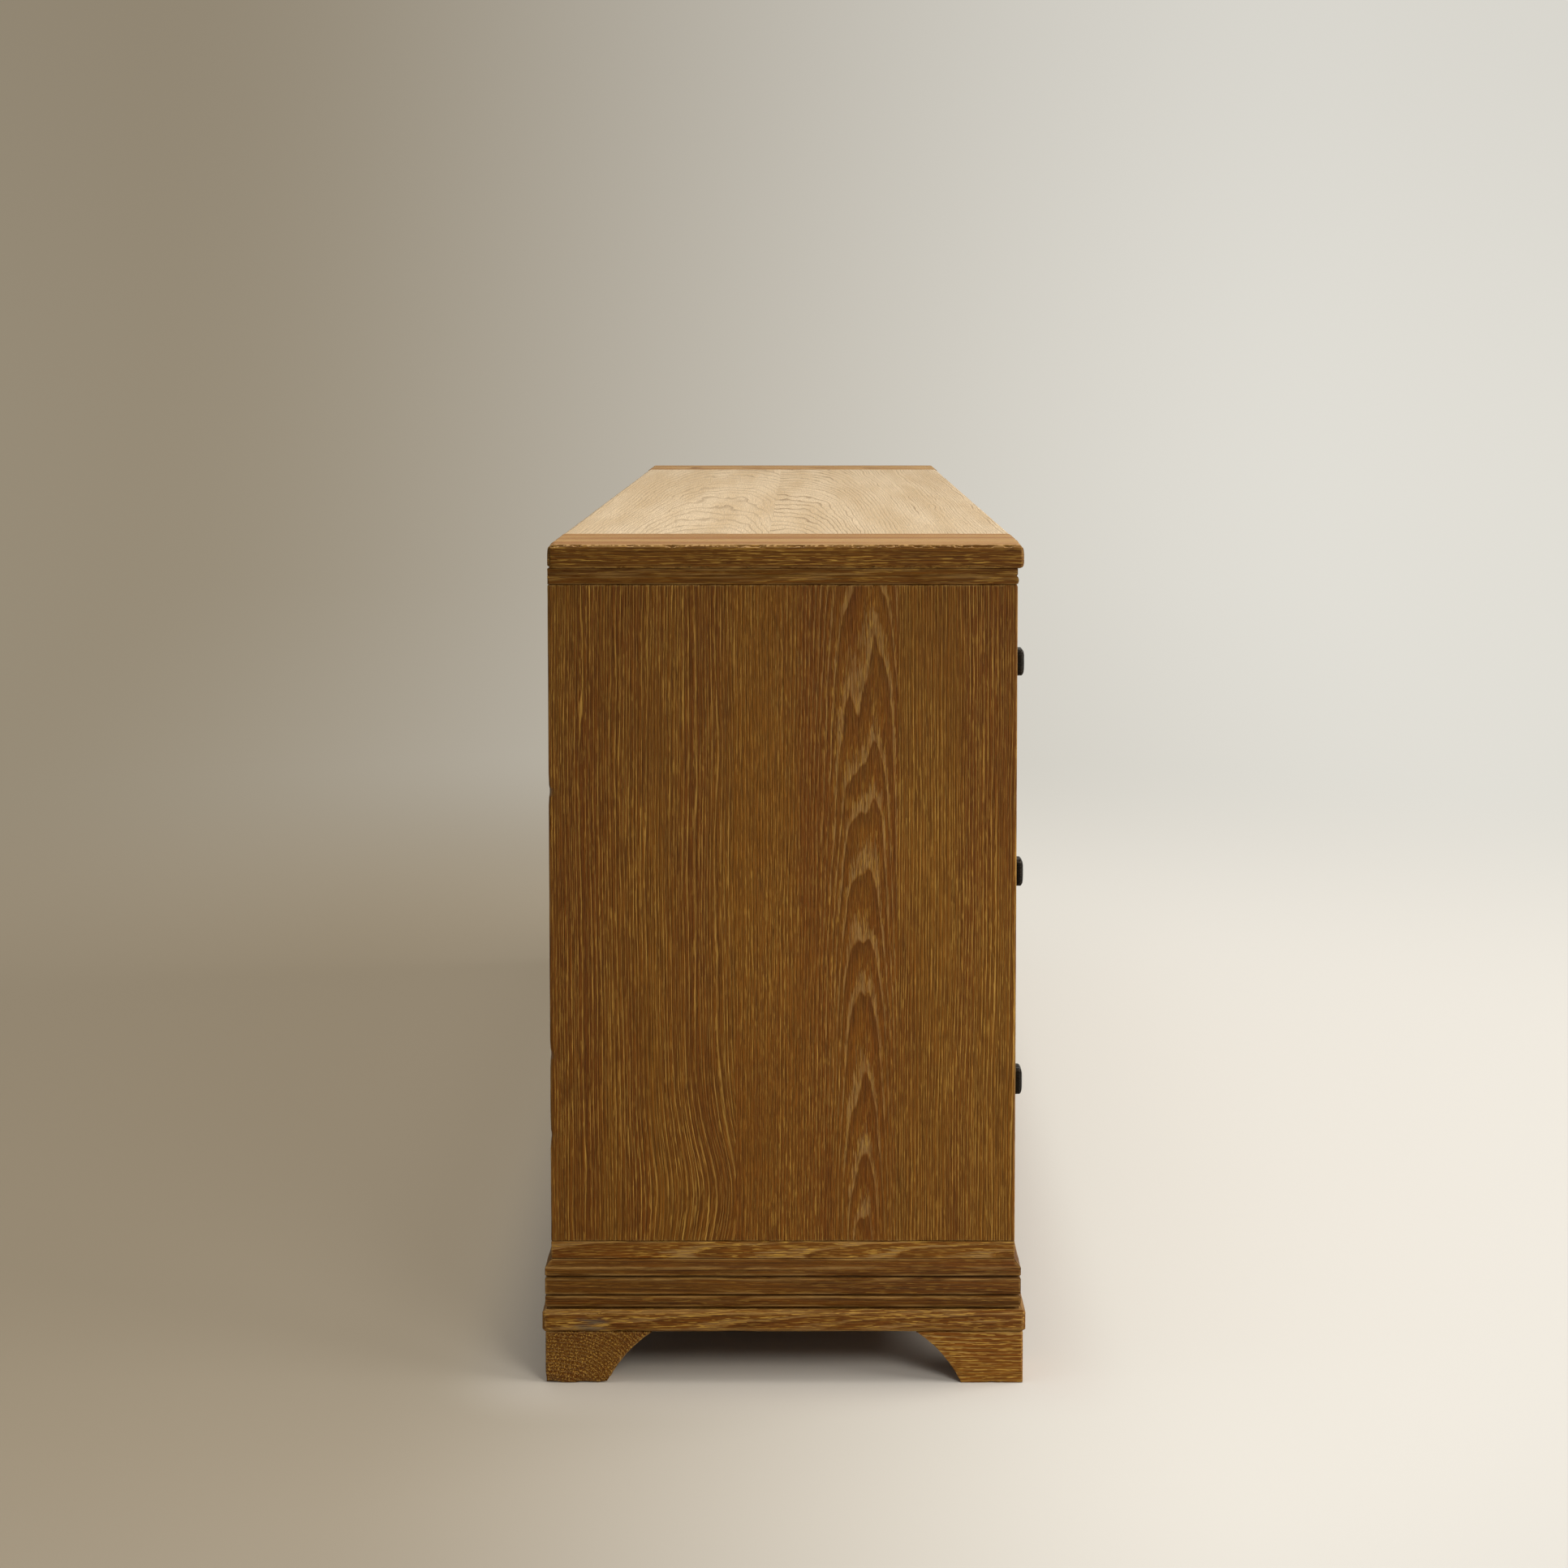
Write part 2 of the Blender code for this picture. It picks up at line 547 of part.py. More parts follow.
def build_drawers(oak, inside_oak, knob, iron):
    box_front = FRONT_Y + DRAWER_FRONT_THICKNESS + JOINT_GAP
    box_mesh = drawer_box_mesh(DRAWER_OPENING_WIDTH / 2 - DRAWER_SIDE_GAP,
                               INSIDE_BACK_Y - DRAWER_BACK_GAP - box_front,
                               DRAWER_OPENING_HEIGHT - DRAWER_HEADROOM)
    for word, side in SIDES.items():
        centre_x = side * (INSIDE_HALF - DRAWER_OPENING_WIDTH / 2)
        half = DRAWER_OPENING_WIDTH / 2 - REVEAL
        for index, row in enumerate(ROWS):
            low = FLOOR_TOP + index * ROW_PITCH
            middle_z = low + DRAWER_OPENING_HEIGHT / 2
            name = f"drawer_{word}_{row}"
            slide = axis_empty(name + "_slide", (centre_x, FRONT_Y, middle_z))
            board(name + "_front", oak, (centre_x - half, FRONT_Y, low + REVEAL),
                  (centre_x + half, FRONT_Y + DRAWER_FRONT_THICKNESS, low + DRAWER_OPENING_HEIGHT - REVEAL),
                  arris=FRONT_ARRIS, parent=slide)
            place(name + "_box", box_mesh.copy(), inside_oak, (centre_x, box_front, low + JOINT_GAP), slide)
            place(name + "_knob", knob.copy(), iron, (centre_x, FRONT_Y, middle_z + KNOB_LIFT), slide)


def hinge_leaf_mesh(name, side, moving):
    """Half of a lift-off hinge: a plate with its half of the barrel, about the local Z axis.

    The fixed half carries the pin, and the half on the door has the bore. side is -1 or 1 for the
    door that it hangs.
    """
    toward = -side if moving else side
    half = HINGE_HEIGHT / 2
    near, far = toward * JOINT_GAP / 2, toward * (JOINT_GAP / 2 + HINGE_LEAF)
    bore = HINGE_PIN_RADIUS + JOINT_GAP
    plate_front = HINGE_BARREL_RADIUS + JOINT_GAP
    tab_front = (HINGE_BARREL_RADIUS + bore) / 2
    low, high = (JOINT_GAP / 2, half) if moving else (-half, -JOINT_GAP / 2)
    plate_back = HINGE_BARREL_RADIUS + HINGE_SETOUT + HINGE_WIDTH
    plate = block("plate", (near, plate_front, -half), (far, plate_back, half))
    tab = block("tab", (near, tab_front, low), (far, plate_front + HINGE_LEAF, high))
    barrel = rod("barrel", HINGE_BARREL_RADIUS, low, high)
    if moving:
        bore_rod = rod("bore", bore, low - CUT_OVERRUN, high + CUT_OVERRUN)
        return fused(name, plate, joined=[tab, barrel], cut=[bore_rod])
    pin = rod("pin", HINGE_PIN_RADIUS, low / 2, half - PIN_SHORT)
    return fused(name, plate, joined=[tab, barrel, pin])


def build_doors(oak, panel_oak, knob, iron, brass):
    height = DOOR_HIGH - DOOR_LOW
    middle_z = (DOOR_LOW + DOOR_HIGH) / 2
    for word, side in SIDES.items():
        name = "door_" + word
        swing = axis_empty(name + "_swing", (side * HINGE_AXIS_X, HINGE_AXIS_Y, middle_z))
        inner_opening = side * (DOOR_INNER_X + DOOR_STILE)
        outer_opening = side * (DOOR_OUTER_X - DOOR_STILE)
        low_opening, high_opening = DOOR_LOW + DOOR_RAIL, DOOR_HIGH - DOOR_RAIL
        panel_front = FRONT_Y + DOOR_PANEL_SETBACK
        panel_back = panel_front + DOOR_PANEL_THICKNESS
        through = ((inner_opening, FRONT_Y - CUT_OVERRUN, low_opening),
                   (outer_opening, FRONT_Y + DOOR_THICKNESS + CUT_OVERRUN, high_opening))
        groove = ((inner_opening - side * PANEL_GROOVE_DEPTH, panel_front - JOINT_GAP,
                   low_opening - PANEL_GROOVE_DEPTH),
                  (outer_opening + side * PANEL_GROOVE_DEPTH, panel_back + JOINT_GAP,
                   high_opening + PANEL_GROOVE_DEPTH))
        board(name + "_frame", oak, (side * DOOR_INNER_X, FRONT_Y, DOOR_LOW),
              (side * DOOR_OUTER_X, FRONT_Y + DOOR_THICKNESS, DOOR_HIGH), [through, groove],
              FRONT_ARRIS, swing)
        lap = PANEL_GROOVE_DEPTH - JOINT_GAP
        board(name + "_panel", panel_oak, (inner_opening - side * lap, panel_front, low_opening - lap),
              (outer_opening + side * lap, panel_back, high_opening + lap), parent=swing)
        knob_x = side * (DOOR_INNER_X + DOOR_STILE / 2)
        place(name + "_knob", knob.copy(), iron, (knob_x, FRONT_Y, middle_z), swing)

        fixed = hinge_leaf_mesh(f"hinge_{word}_fixed", side, moving=False)
        moving = hinge_leaf_mesh(f"hinge_{word}_moving", side, moving=True)
        for end, offset in (("lower", HINGE_INSET), ("upper", height - HINGE_INSET)):
            spot = (side * HINGE_AXIS_X, HINGE_AXIS_Y, DOOR_LOW + offset)
            place(f"hinge_{word}_{end}_fixed", fixed.copy(), brass, spot)
            place(f"hinge_{word}_{end}_moving", moving.copy(), brass, spot, swing)

        catch_front = FRONT_Y + max(DOOR_THICKNESS, TOP_MOULDING_DEPTH) + CATCH_GAP
        board("catch_" + word, iron,
              (knob_x - CATCH_WIDTH / 2, catch_front, OPENING_TOP - CATCH_DROP),
              (knob_x + CATCH_WIDTH / 2, catch_front + CATCH_DEPTH, TOP_BOTTOM - JOINT_GAP))


def main():
    clear_scene()
    pale_oak = finish("pale_oak", (0.62, 0.47, 0.29), 0.55)
    red_oak = finish("red_oak", (0.45, 0.26, 0.11), 0.55)
    brown_oak = finish("brown_oak", (0.16, 0.07, 0.018), 0.6)
    inside_oak = finish("inside_oak", (0.42, 0.28, 0.14), 0.7)
    iron = finish("dark_iron", (0.02, 0.018, 0.016), 0.45, 0.9)
    brass = finish("aged_brass", (0.30, 0.21, 0.10), 0.45, 1.0)
    knob = knob_mesh()
    build_top(pale_oak, red_oak)
    build_top_moulding(brown_oak)
    build_carcass(brown_oak, inside_oak)
    build_base(brown_oak)
    build_drawers(brown_oak, inside_oak, knob, iron)
    build_doors(brown_oak, brown_oak, knob, iron, brass)
    nodes = [obj for obj in bpy.data.objects if obj.type == "MESH"]
    print(f"{len(nodes)} pieces, top at {TOP_SURFACE:.4f} m, front of the carcass at y = {FRONT_Y:.5f} m")


main()
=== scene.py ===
# %% [markdown]
# # Dressing an oak sideboard
# The object is a long oak sideboard: a pale top, partly bleached and partly painted light, stained sides,
# drawers, two doors and small iron knobs. Its construction comes in as a fixed frame of sixty solids at
# their real size, in metres.
# We could colour those solids as they are, but real boards have eased edges, dents and grain that
# follows the saw. So most of this lesson makes a worn copy of each piece and lets it ride where the
# solid was. The frame itself is never moved.

# %% Load the frame and measure it
import json
import math
import random

import bmesh
import bpy
import numpy as np
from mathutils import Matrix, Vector, noise

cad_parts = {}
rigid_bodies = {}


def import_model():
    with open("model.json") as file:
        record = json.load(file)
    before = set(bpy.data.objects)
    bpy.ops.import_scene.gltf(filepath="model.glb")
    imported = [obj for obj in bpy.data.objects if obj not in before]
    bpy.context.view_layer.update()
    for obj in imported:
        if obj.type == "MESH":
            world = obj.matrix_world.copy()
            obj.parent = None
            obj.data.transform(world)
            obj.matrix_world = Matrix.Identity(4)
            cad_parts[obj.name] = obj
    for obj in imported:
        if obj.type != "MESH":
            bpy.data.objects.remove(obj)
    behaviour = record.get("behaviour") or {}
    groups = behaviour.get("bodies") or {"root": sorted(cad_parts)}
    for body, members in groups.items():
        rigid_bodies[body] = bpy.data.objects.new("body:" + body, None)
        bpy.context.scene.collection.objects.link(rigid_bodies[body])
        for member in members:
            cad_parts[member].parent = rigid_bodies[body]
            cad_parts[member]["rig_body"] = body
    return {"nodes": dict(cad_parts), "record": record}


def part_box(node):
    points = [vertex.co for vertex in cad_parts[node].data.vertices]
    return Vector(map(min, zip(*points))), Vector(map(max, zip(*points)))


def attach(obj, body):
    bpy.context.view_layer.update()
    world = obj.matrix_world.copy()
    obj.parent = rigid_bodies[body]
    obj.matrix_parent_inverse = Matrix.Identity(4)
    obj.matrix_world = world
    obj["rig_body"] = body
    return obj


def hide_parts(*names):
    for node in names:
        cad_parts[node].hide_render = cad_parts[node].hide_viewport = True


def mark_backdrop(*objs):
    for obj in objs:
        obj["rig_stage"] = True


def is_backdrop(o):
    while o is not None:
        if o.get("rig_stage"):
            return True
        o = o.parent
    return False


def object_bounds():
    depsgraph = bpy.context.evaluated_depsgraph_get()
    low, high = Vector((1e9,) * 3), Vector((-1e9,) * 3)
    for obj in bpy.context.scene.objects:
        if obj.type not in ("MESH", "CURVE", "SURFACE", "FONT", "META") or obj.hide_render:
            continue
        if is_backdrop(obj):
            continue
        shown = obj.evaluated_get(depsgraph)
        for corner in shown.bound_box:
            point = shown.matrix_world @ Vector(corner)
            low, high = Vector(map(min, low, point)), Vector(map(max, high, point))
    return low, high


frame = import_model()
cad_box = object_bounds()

print("frame:", len(frame["nodes"]), "nodes,", [round(x, 4) for x in (*cad_box[0], *cad_box[1])])

# %% [markdown]
# ## The camera
# The picture looks at one short end from a little above, with a fairly long lens, and the lens axis
# meets the picture above its middle, as in a cropped photograph. We could aim the camera at the
# object and guess, but the edges of the end panel and of the top fix the place, the tilt and the
# focal length, so those are written down and the crop becomes the camera's shift.

# %% Place the camera
PHOTO_SIDE = 1932                 # pixels along each side of the picture
FOCAL_PIXELS = 3414
LENS_AXIS_PIXEL = (990, 657.3)    # where the lens axis meets the picture
SENSOR_MM = 36.0
EYE = (-3.775, -0.0135, 1.0498)
LOOK_DOWN = math.radians(3.69)


def link(obj):
    bpy.context.scene.collection.objects.link(obj)
    return obj


camera = link(bpy.data.objects.new("camera", bpy.data.cameras.new("camera")))
camera.data.sensor_width = SENSOR_MM
camera.data.lens = FOCAL_PIXELS / PHOTO_SIDE * SENSOR_MM
camera.data.shift_x = 0.5 - LENS_AXIS_PIXEL[0] / PHOTO_SIDE
camera.data.shift_y = LENS_AXIS_PIXEL[1] / PHOTO_SIDE - 0.5
camera.location = EYE
camera.rotation_euler = (math.pi / 2 - LOOK_DOWN, 0.0, -math.pi / 2)
bpy.context.scene.camera = camera
shifts = [round(shift, 4) for shift in (camera.data.shift_x, camera.data.shift_y)]
print("lens", round(camera.data.lens, 2), "mm, shift", shifts)

# %% [markdown]
# ## A small kit for finishes
# Every finish below is a node tree. Trees can be drawn by hand in the shader editor, but in a script
# each node takes several lines, which hides the idea. This class keeps one material and offers a
# short call for each kind of node that the finishes share, so that a recipe reads from top to bottom.

# %% The finish class
class Finish:
    """A material with short calls for the nodes that the recipes use."""

    def __init__(self, name):
        self.material = bpy.data.materials.new(name)
        self.material.use_nodes = True
        self.tree = self.material.node_tree
        self.skin = self.tree.nodes["Principled BSDF"]

    def add(self, kind, inputs=None, **settings):
        node = self.tree.nodes.new("ShaderNode" + kind)
        for key, value in settings.items():
            setattr(node, key, value)
        for key, value in (inputs or {}).items():
            self.feed(node.inputs[key], value)
        return node

    def feed(self, socket, value):
        if isinstance(value, bpy.types.NodeSocket):
            self.tree.links.new(value, socket)
        elif hasattr(value, "__len__") and socket.type == "RGBA":
            socket.default_value = (*value, 1.0)
        else:
            socket.default_value = value

    def sum(self, operation, first, second=0.0, third=0.0):
        return self.add("Math", {0: first, 1: second, 2: third}, operation=operation).outputs[0]

    def vector(self, operation, first, second=(0.0, 0.0, 0.0)):
        return self.add("VectorMath", {0: first, 1: second}, operation=operation).outputs[0]

    def length(self, vector):
        return self.add("VectorMath", {0: vector}, operation="LENGTH").outputs["Value"]

    def parts(self, vector):
        return self.add("SeparateXYZ", {0: vector}).outputs

    def spread(self, value, low, high, to_low=0.0, to_high=1.0):
        """Stretches low..high to to_low..to_high, with soft ends."""
        inputs = {"Value": value, "From Min": low, "From Max": high, "To Min": to_low, "To Max": to_high}
        return self.add("MapRange", inputs, interpolation_type="SMOOTHSTEP").outputs[0]

    def mix(self, share, first, second):
        return self.add("Mix", {0: share, 6: first, 7: second}, data_type="RGBA").outputs[2]

    def tint(self, colour, other, layer, share):
        """Mixes in another colour where a layer is strong, by no more than a share."""
        return self.mix(self.sum("MULTIPLY", layer, share), colour, other)

    def brighten(self, colour, value):
        return self.add("HueSaturation", {"Color": colour, "Value": value}).outputs[0]

    def attribute(self, name):
        return self.add("Attribute", attribute_name=name).outputs["Vector"]

    def cloud(self, place, stretch, detail=1.0):
        """Noise of 0..1 on a place that is stretched, given as cells per metre along X, Y and Z."""
        stretched = self.vector("MULTIPLY", place, stretch)
        return self.add("TexNoise", {"Vector": stretched, "Scale": 1.0, "Detail": detail}).outputs[0]

    def raise_skin(self, height, distance):
        bump = self.add("Bump", {"Height": height, "Distance": distance})
        self.feed(self.skin.inputs["Normal"], bump.outputs[0])

    def glow(self, colour, level=1.0):
        return self.add("Emission", {"Color": colour, "Strength": level}).outputs[0]

    def blend(self, share, first, second):
        return self.add("MixShader", {0: share, 1: first, 2: second}).outputs[0]


print("finish kit ready")

# %% [markdown]
# ## Floor and backdrop
# The sideboard stands on a pale studio sweep. A flat plane would show its far edge, so the floor is a wide
# disc and the backdrop is a rim that curves up all round it: seamless from every side. The floor's colour
# is pale on the drawers' side and has painted shade on the far side, where the sideboard's shadow falls.
# Far out the floor turns into a tone that glows by itself, so that no horizon shows. That glow carries
# painted light on the drawers' side, painted shade on the far side and a painted falloff upwards. Nearer
# the sideboard it glows in part, with a painted shadow on the far side, which keeps the real shadows soft,
# but not under the sideboard.

# %% Make the sweep
FLOOR_MIDDLE = 0.5                # radius of the one flat face in the middle
FLOOR_RADIUS = 9.0
RIM_CURVE = 3.0
RIM_HEIGHT = 9.0
RIM_STEPS = 16
FLOOR_LEVEL = -0.0002             # just under the feet
SWEEP_SIDES = 96
FLOOR_LIGHT = (0.75, 0.745, 0.73)
FLOOR_PAINTED_SHADE = (0.46, 0.400, 0.310)
FLOOR_TURN = (-1.0, 0.9)          # the pale tone turns to painted shade between these places along Y
FLOOR_ROUGHNESS = 0.9
FLOOR_SHEEN = 0.05
# the fill is a glow with painted light on the drawers' side and a painted shadow on the far side
FILL_PAINTED_LIGHT = (0.88, 0.83, 0.73)
FILL_PAINTED_SHADOW = (0.318, 0.254, 0.168)
FILL_TURN = (-0.45, 0.45)
FILL_SHARE = 0.60                 # how much of the floor's tone doesn't depend on the lamps
FILL_REACH = 0.12                 # metres from the footprint to the full share
FOOTPRINT = (1.0, 0.25, 0.0)      # half the sideboard's length and depth
# the backdrop glow: painted light on the drawers' side, painted shade on the far side
BACKDROP_LIGHT = (0.735, 0.715, 0.655)
BACKDROP_PAINTED_SHADE = (0.30, 0.252, 0.180)
BACKDROP_TURN = (-0.80, 0.95)     # here as shares of a width, which grows along X
BACKDROP_WIDTH, BACKDROP_FLARE = 1.6, 0.2
BACKDROP_HEIGHT = 3.5
BACKDROP_PAINTED_FALLOFF = (1.03, 0.94)    # painted falloff: glow at the floor and at that height
FADE_START, FADE_END = 1.2, 3.6   # between these radii the floor under the lamps turns into the glowing backdrop with its painted light and shade


def sweep_finish():
    finish = Finish("studio_sweep")
    place = finish.add("TexCoord").outputs["Object"]
    along, side, height = finish.parts(place)

    # the floor's colour: pale, with painted shade on the far side
    painted_floor_tone = finish.mix(finish.spread(side, *FLOOR_TURN), FLOOR_LIGHT, FLOOR_PAINTED_SHADE)
    finish.feed(finish.skin.inputs["Base Color"], painted_floor_tone)
    finish.skin.inputs["Roughness"].default_value = FLOOR_ROUGHNESS
    finish.skin.inputs["Specular IOR Level"].default_value = FLOOR_SHEEN
    # a glow of painted light and painted shadow, none of it under the sideboard
    fill = finish.glow(finish.mix(finish.spread(side, *FILL_TURN), FILL_PAINTED_LIGHT, FILL_PAINTED_SHADOW))
    outside = finish.vector("SUBTRACT", finish.vector("ABSOLUTE", place), FOOTPRINT)
    clear = finish.length(finish.vector("MAXIMUM", outside))
    share = finish.spread(clear, 0.0, FILL_REACH, 0.0, FILL_SHARE)
    near = finish.blend(share, finish.skin.outputs[0], fill)

    # the far glow: painted light and painted shade across the backdrop, and a painted falloff upwards
    width = finish.sum("MULTIPLY_ADD", finish.sum("ABSOLUTE", along), BACKDROP_FLARE, BACKDROP_WIDTH)
    turn = finish.spread(finish.sum("DIVIDE", side, width), *BACKDROP_TURN)
    level = finish.spread(height, 0.0, BACKDROP_HEIGHT, *BACKDROP_PAINTED_FALLOFF)
    far = finish.glow(finish.mix(turn, BACKDROP_LIGHT, BACKDROP_PAINTED_SHADE), level)
    fade = finish.spread(finish.length(place), FADE_START, FADE_END)
    finish.feed(finish.tree.nodes["Material Output"].inputs["Surface"], finish.blend(fade, near, far))
    return finish.material


def turned(name, outline):
    """Skins a row of (radius, height) points round the Z axis."""
    bm = bmesh.new()
    rings = []
    for radius, height in outline:
        turns = [2 * math.pi * i / SWEEP_SIDES for i in range(SWEEP_SIDES)]
        rings.append([bm.verts.new((radius * math.cos(t), radius * math.sin(t), height)) for t in turns])
    for ring, following in zip(rings, rings[1:]):
        for i in range(SWEEP_SIDES):
            j = (i + 1) % SWEEP_SIDES
            bm.faces.new((ring[i], following[i], following[j], ring[j]))
    if outline[0][1] == outline[-1][1]:
        bm.faces.new(rings[0])
    mesh = bpy.data.meshes.new(name)
    bm.to_mesh(mesh)
    bm.free()
    mesh.shade_smooth()
    return link(bpy.data.objects.new(name, mesh))


floor = turned("floor", [(FLOOR_MIDDLE, FLOOR_LEVEL), (FLOOR_RADIUS, FLOOR_LEVEL)])
rim = []
for step in range(RIM_STEPS + 1):
    rise = math.pi / 2 * step / RIM_STEPS
    rim.append((FLOOR_RADIUS + RIM_CURVE * math.sin(rise), FLOOR_LEVEL + RIM_CURVE * (1 - math.cos(rise))))
backdrop = turned("backdrop", [*rim, (FLOOR_RADIUS + RIM_CURVE, RIM_HEIGHT)])
backdrop.visible_diffuse = False    # the light of the world passes through the rim
backdrop.visible_shadow = False
sweep = sweep_finish()
for piece in (floor, backdrop):
    piece.data.materials.append(sweep)
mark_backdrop(floor, backdrop)
print("sweep:", FLOOR_RADIUS + RIM_CURVE, "m from its middle to its rim")

# %% [markdown]
# ## Light
# The picture has one large soft source on the drawers' side, high up, and a bright room that fills
# the shaded end. Hard lamps would draw sharp shadows, so two big area lamps, a weak reflector beside
# the end panel and an even world do the work instead. Their level is plain: a mid tone renders
# about as it is written.

# %% Hang the lamps
MIDDLE = (0.0, 0.0, 0.45)
NEAR_FOOT = (-1.0, 0.0, 0.2)
WIDE, NARROW = math.pi, math.radians(65)    # how far round a lamp shines
LAMPS = {                         # place, aim, width, height, watts and spread
    "window": ((-0.8, -6.0, 3.7), MIDDLE, 6.5, 2.8, 500.0, WIDE),
    "ceiling": ((-0.6, 0.2, 4.4), MIDDLE, 2.6, 2.6, 78.0, WIDE),
    "reflector": ((-2.2, -0.6, 1.08), NEAR_FOOT, 0.6, 0.6, 1.75, NARROW),
}
LAMP_COLOUR = (1.0, 0.955, 0.89)
WORLD_COLOUR = (0.93, 0.94, 0.95)
WORLD_LEVEL = 0.25


def hang(name, place, aim, width, height, watts, spread):
    lamp = bpy.data.lights.new(name, "AREA")
    lamp.shape = "RECTANGLE"
    lamp.size = width
    lamp.size_y = height
    lamp.energy = watts
    lamp.color = LAMP_COLOUR
    lamp.spread = spread
    lamp_object = link(bpy.data.objects.new(name, lamp))
    lamp_object.location = place
    lamp_object.rotation_euler = (Vector(aim) - Vector(place)).to_track_quat("-Z", "Y").to_euler()
    lamp_object.visible_camera = False


for name, settings in LAMPS.items():
    hang(name, *settings)
world = bpy.data.worlds.new("studio")
world.use_nodes = True
world.node_tree.nodes["Background"].inputs["Color"].default_value = (*WORLD_COLOUR, 1.0)
world.node_tree.nodes["Background"].inputs["Strength"].default_value = WORLD_LEVEL
bpy.context.scene.world = world
bpy.context.scene.view_settings.view_transform = "Standard"
print("lamps:", ", ".join(LAMPS))

# %% [markdown]
# ## How oak grows
# Oak shows a pale, porous band for each spring and a dense, darker band for each winter. On a board
# these bands are slices through the trunk's rings: straight lines where the saw passed beside the
# heart, arches where it ran flat over it. A flat wood picture can't turn a corner, so the grain here
# is solid. Each face carries its place in its own trunk, in an attribute named grain: how far along
# the trunk, and how far from the heart in two directions. The ring number is then a distance.

# %% Rings from a place in the trunk
RING_SQUARENESS = 3.2             # 2 is a round trunk; above that the arches get broad tops and steep legs
DRIFT_CELLS = (1.7, 4.0, 4.0)     # slow bends of the trunk, in cells per metre along and across it
SWAY_CELLS = (6.0, 40.0, 40.0)    # and quicker ones
YEAR_CELLS = 40.0                 # good and bad years, in cells per metre from the heart
SWAY_RINGS, YEAR_RINGS = 1.6, 4.0    # by how many rings these two move the count


def year_rings(finish, trunk, spacing, wander):
    """Returns how far through its year each point grew, and how flat the saw met the rings there."""
    drift = finish.add("TexNoise", {"Vector": finish.vector("MULTIPLY", trunk, DRIFT_CELLS), "Scale": 1.0,
                                    "Detail": 1.0}).outputs["Color"]
    drift = finish.vector("SUBTRACT", drift, (0.5, 0.5, 0.5))
    drift = finish.add("VectorMath", {0: drift, "Scale": wander}, operation="SCALE").outputs[0]
    _, aside, depth = finish.parts(finish.vector("ADD", trunk, drift))
    powers = [finish.sum("POWER", finish.sum("ABSOLUTE", part), RING_SQUARENESS) for part in (aside, depth)]
    radius = finish.sum("POWER", finish.sum("ADD", *powers), 1 / RING_SQUARENESS)
    flat = finish.sum("POWER", finish.sum("DIVIDE", depth, radius), 2.0)

    ring = finish.sum("DIVIDE", radius, spacing)
    years = finish.add("TexNoise", {"W": finish.sum("MULTIPLY", radius, YEAR_CELLS), "Scale": 1.0,
                                    "Detail": 2.0}, noise_dimensions="1D").outputs[0]
    sway = finish.cloud(trunk, SWAY_CELLS, 2.0)
    for part, rings in ((years, YEAR_RINGS), (sway, SWAY_RINGS)):
        ring = finish.sum("MULTIPLY_ADD", part, rings, ring)
    return finish.sum("FRACT", ring), flat


print("rings ready")

# %% Pores, fibres and wax
CLOUDS = {                        # cells per metre along and across, detail, range that counts, least value
    "streak": (18.0, 700.0, 2.0, 0.42, 0.56, 0.0),
    "dash": (26.0, 760.0, 2.0, 0.50, 0.60, 0.0),
    "pores": (75.0, 1300.0, 1.0, 0.54, 0.64, 0.0),
    "fibre": (4.0, 800.0, 2.0, 0.30, 0.70, 0.0),
    "patch": (1.3, 24.0, 2.0, 0.34, 0.66, 0.0),
    "kept": (5.0, 40.0, 2.0, 0.34, 0.62, 0.45),
    "filled": (60.0, 950.0, 1.0, 0.55, 0.63, 0.0),
}
TEETH_CELLS = (24.0, 900.0, 900.0)
TEETH_FLAT, TEETH_STEEP = 0.8, 0.25    # how ragged a spring band ends, where the saw met it flat or not
SPRING_RISE = (0.0, 0.06)         # parts of a year
SPRING_FALL = (0.16, 0.25)
SPRING_FLAT = 0.09                # a band that was met flat ends this much later
WINTER = (0.60, 0.98)
LATE = (0.68, 0.95)
FLECK_FALL = (0.30, 0.75, 1.0, 0.3)    # flecks thin out from spring to winter
BROKEN = (0.35, 1.0)              # how much of its streaks a narrow band keeps
COMBED = (0.22, 0.62)             # and a broad one


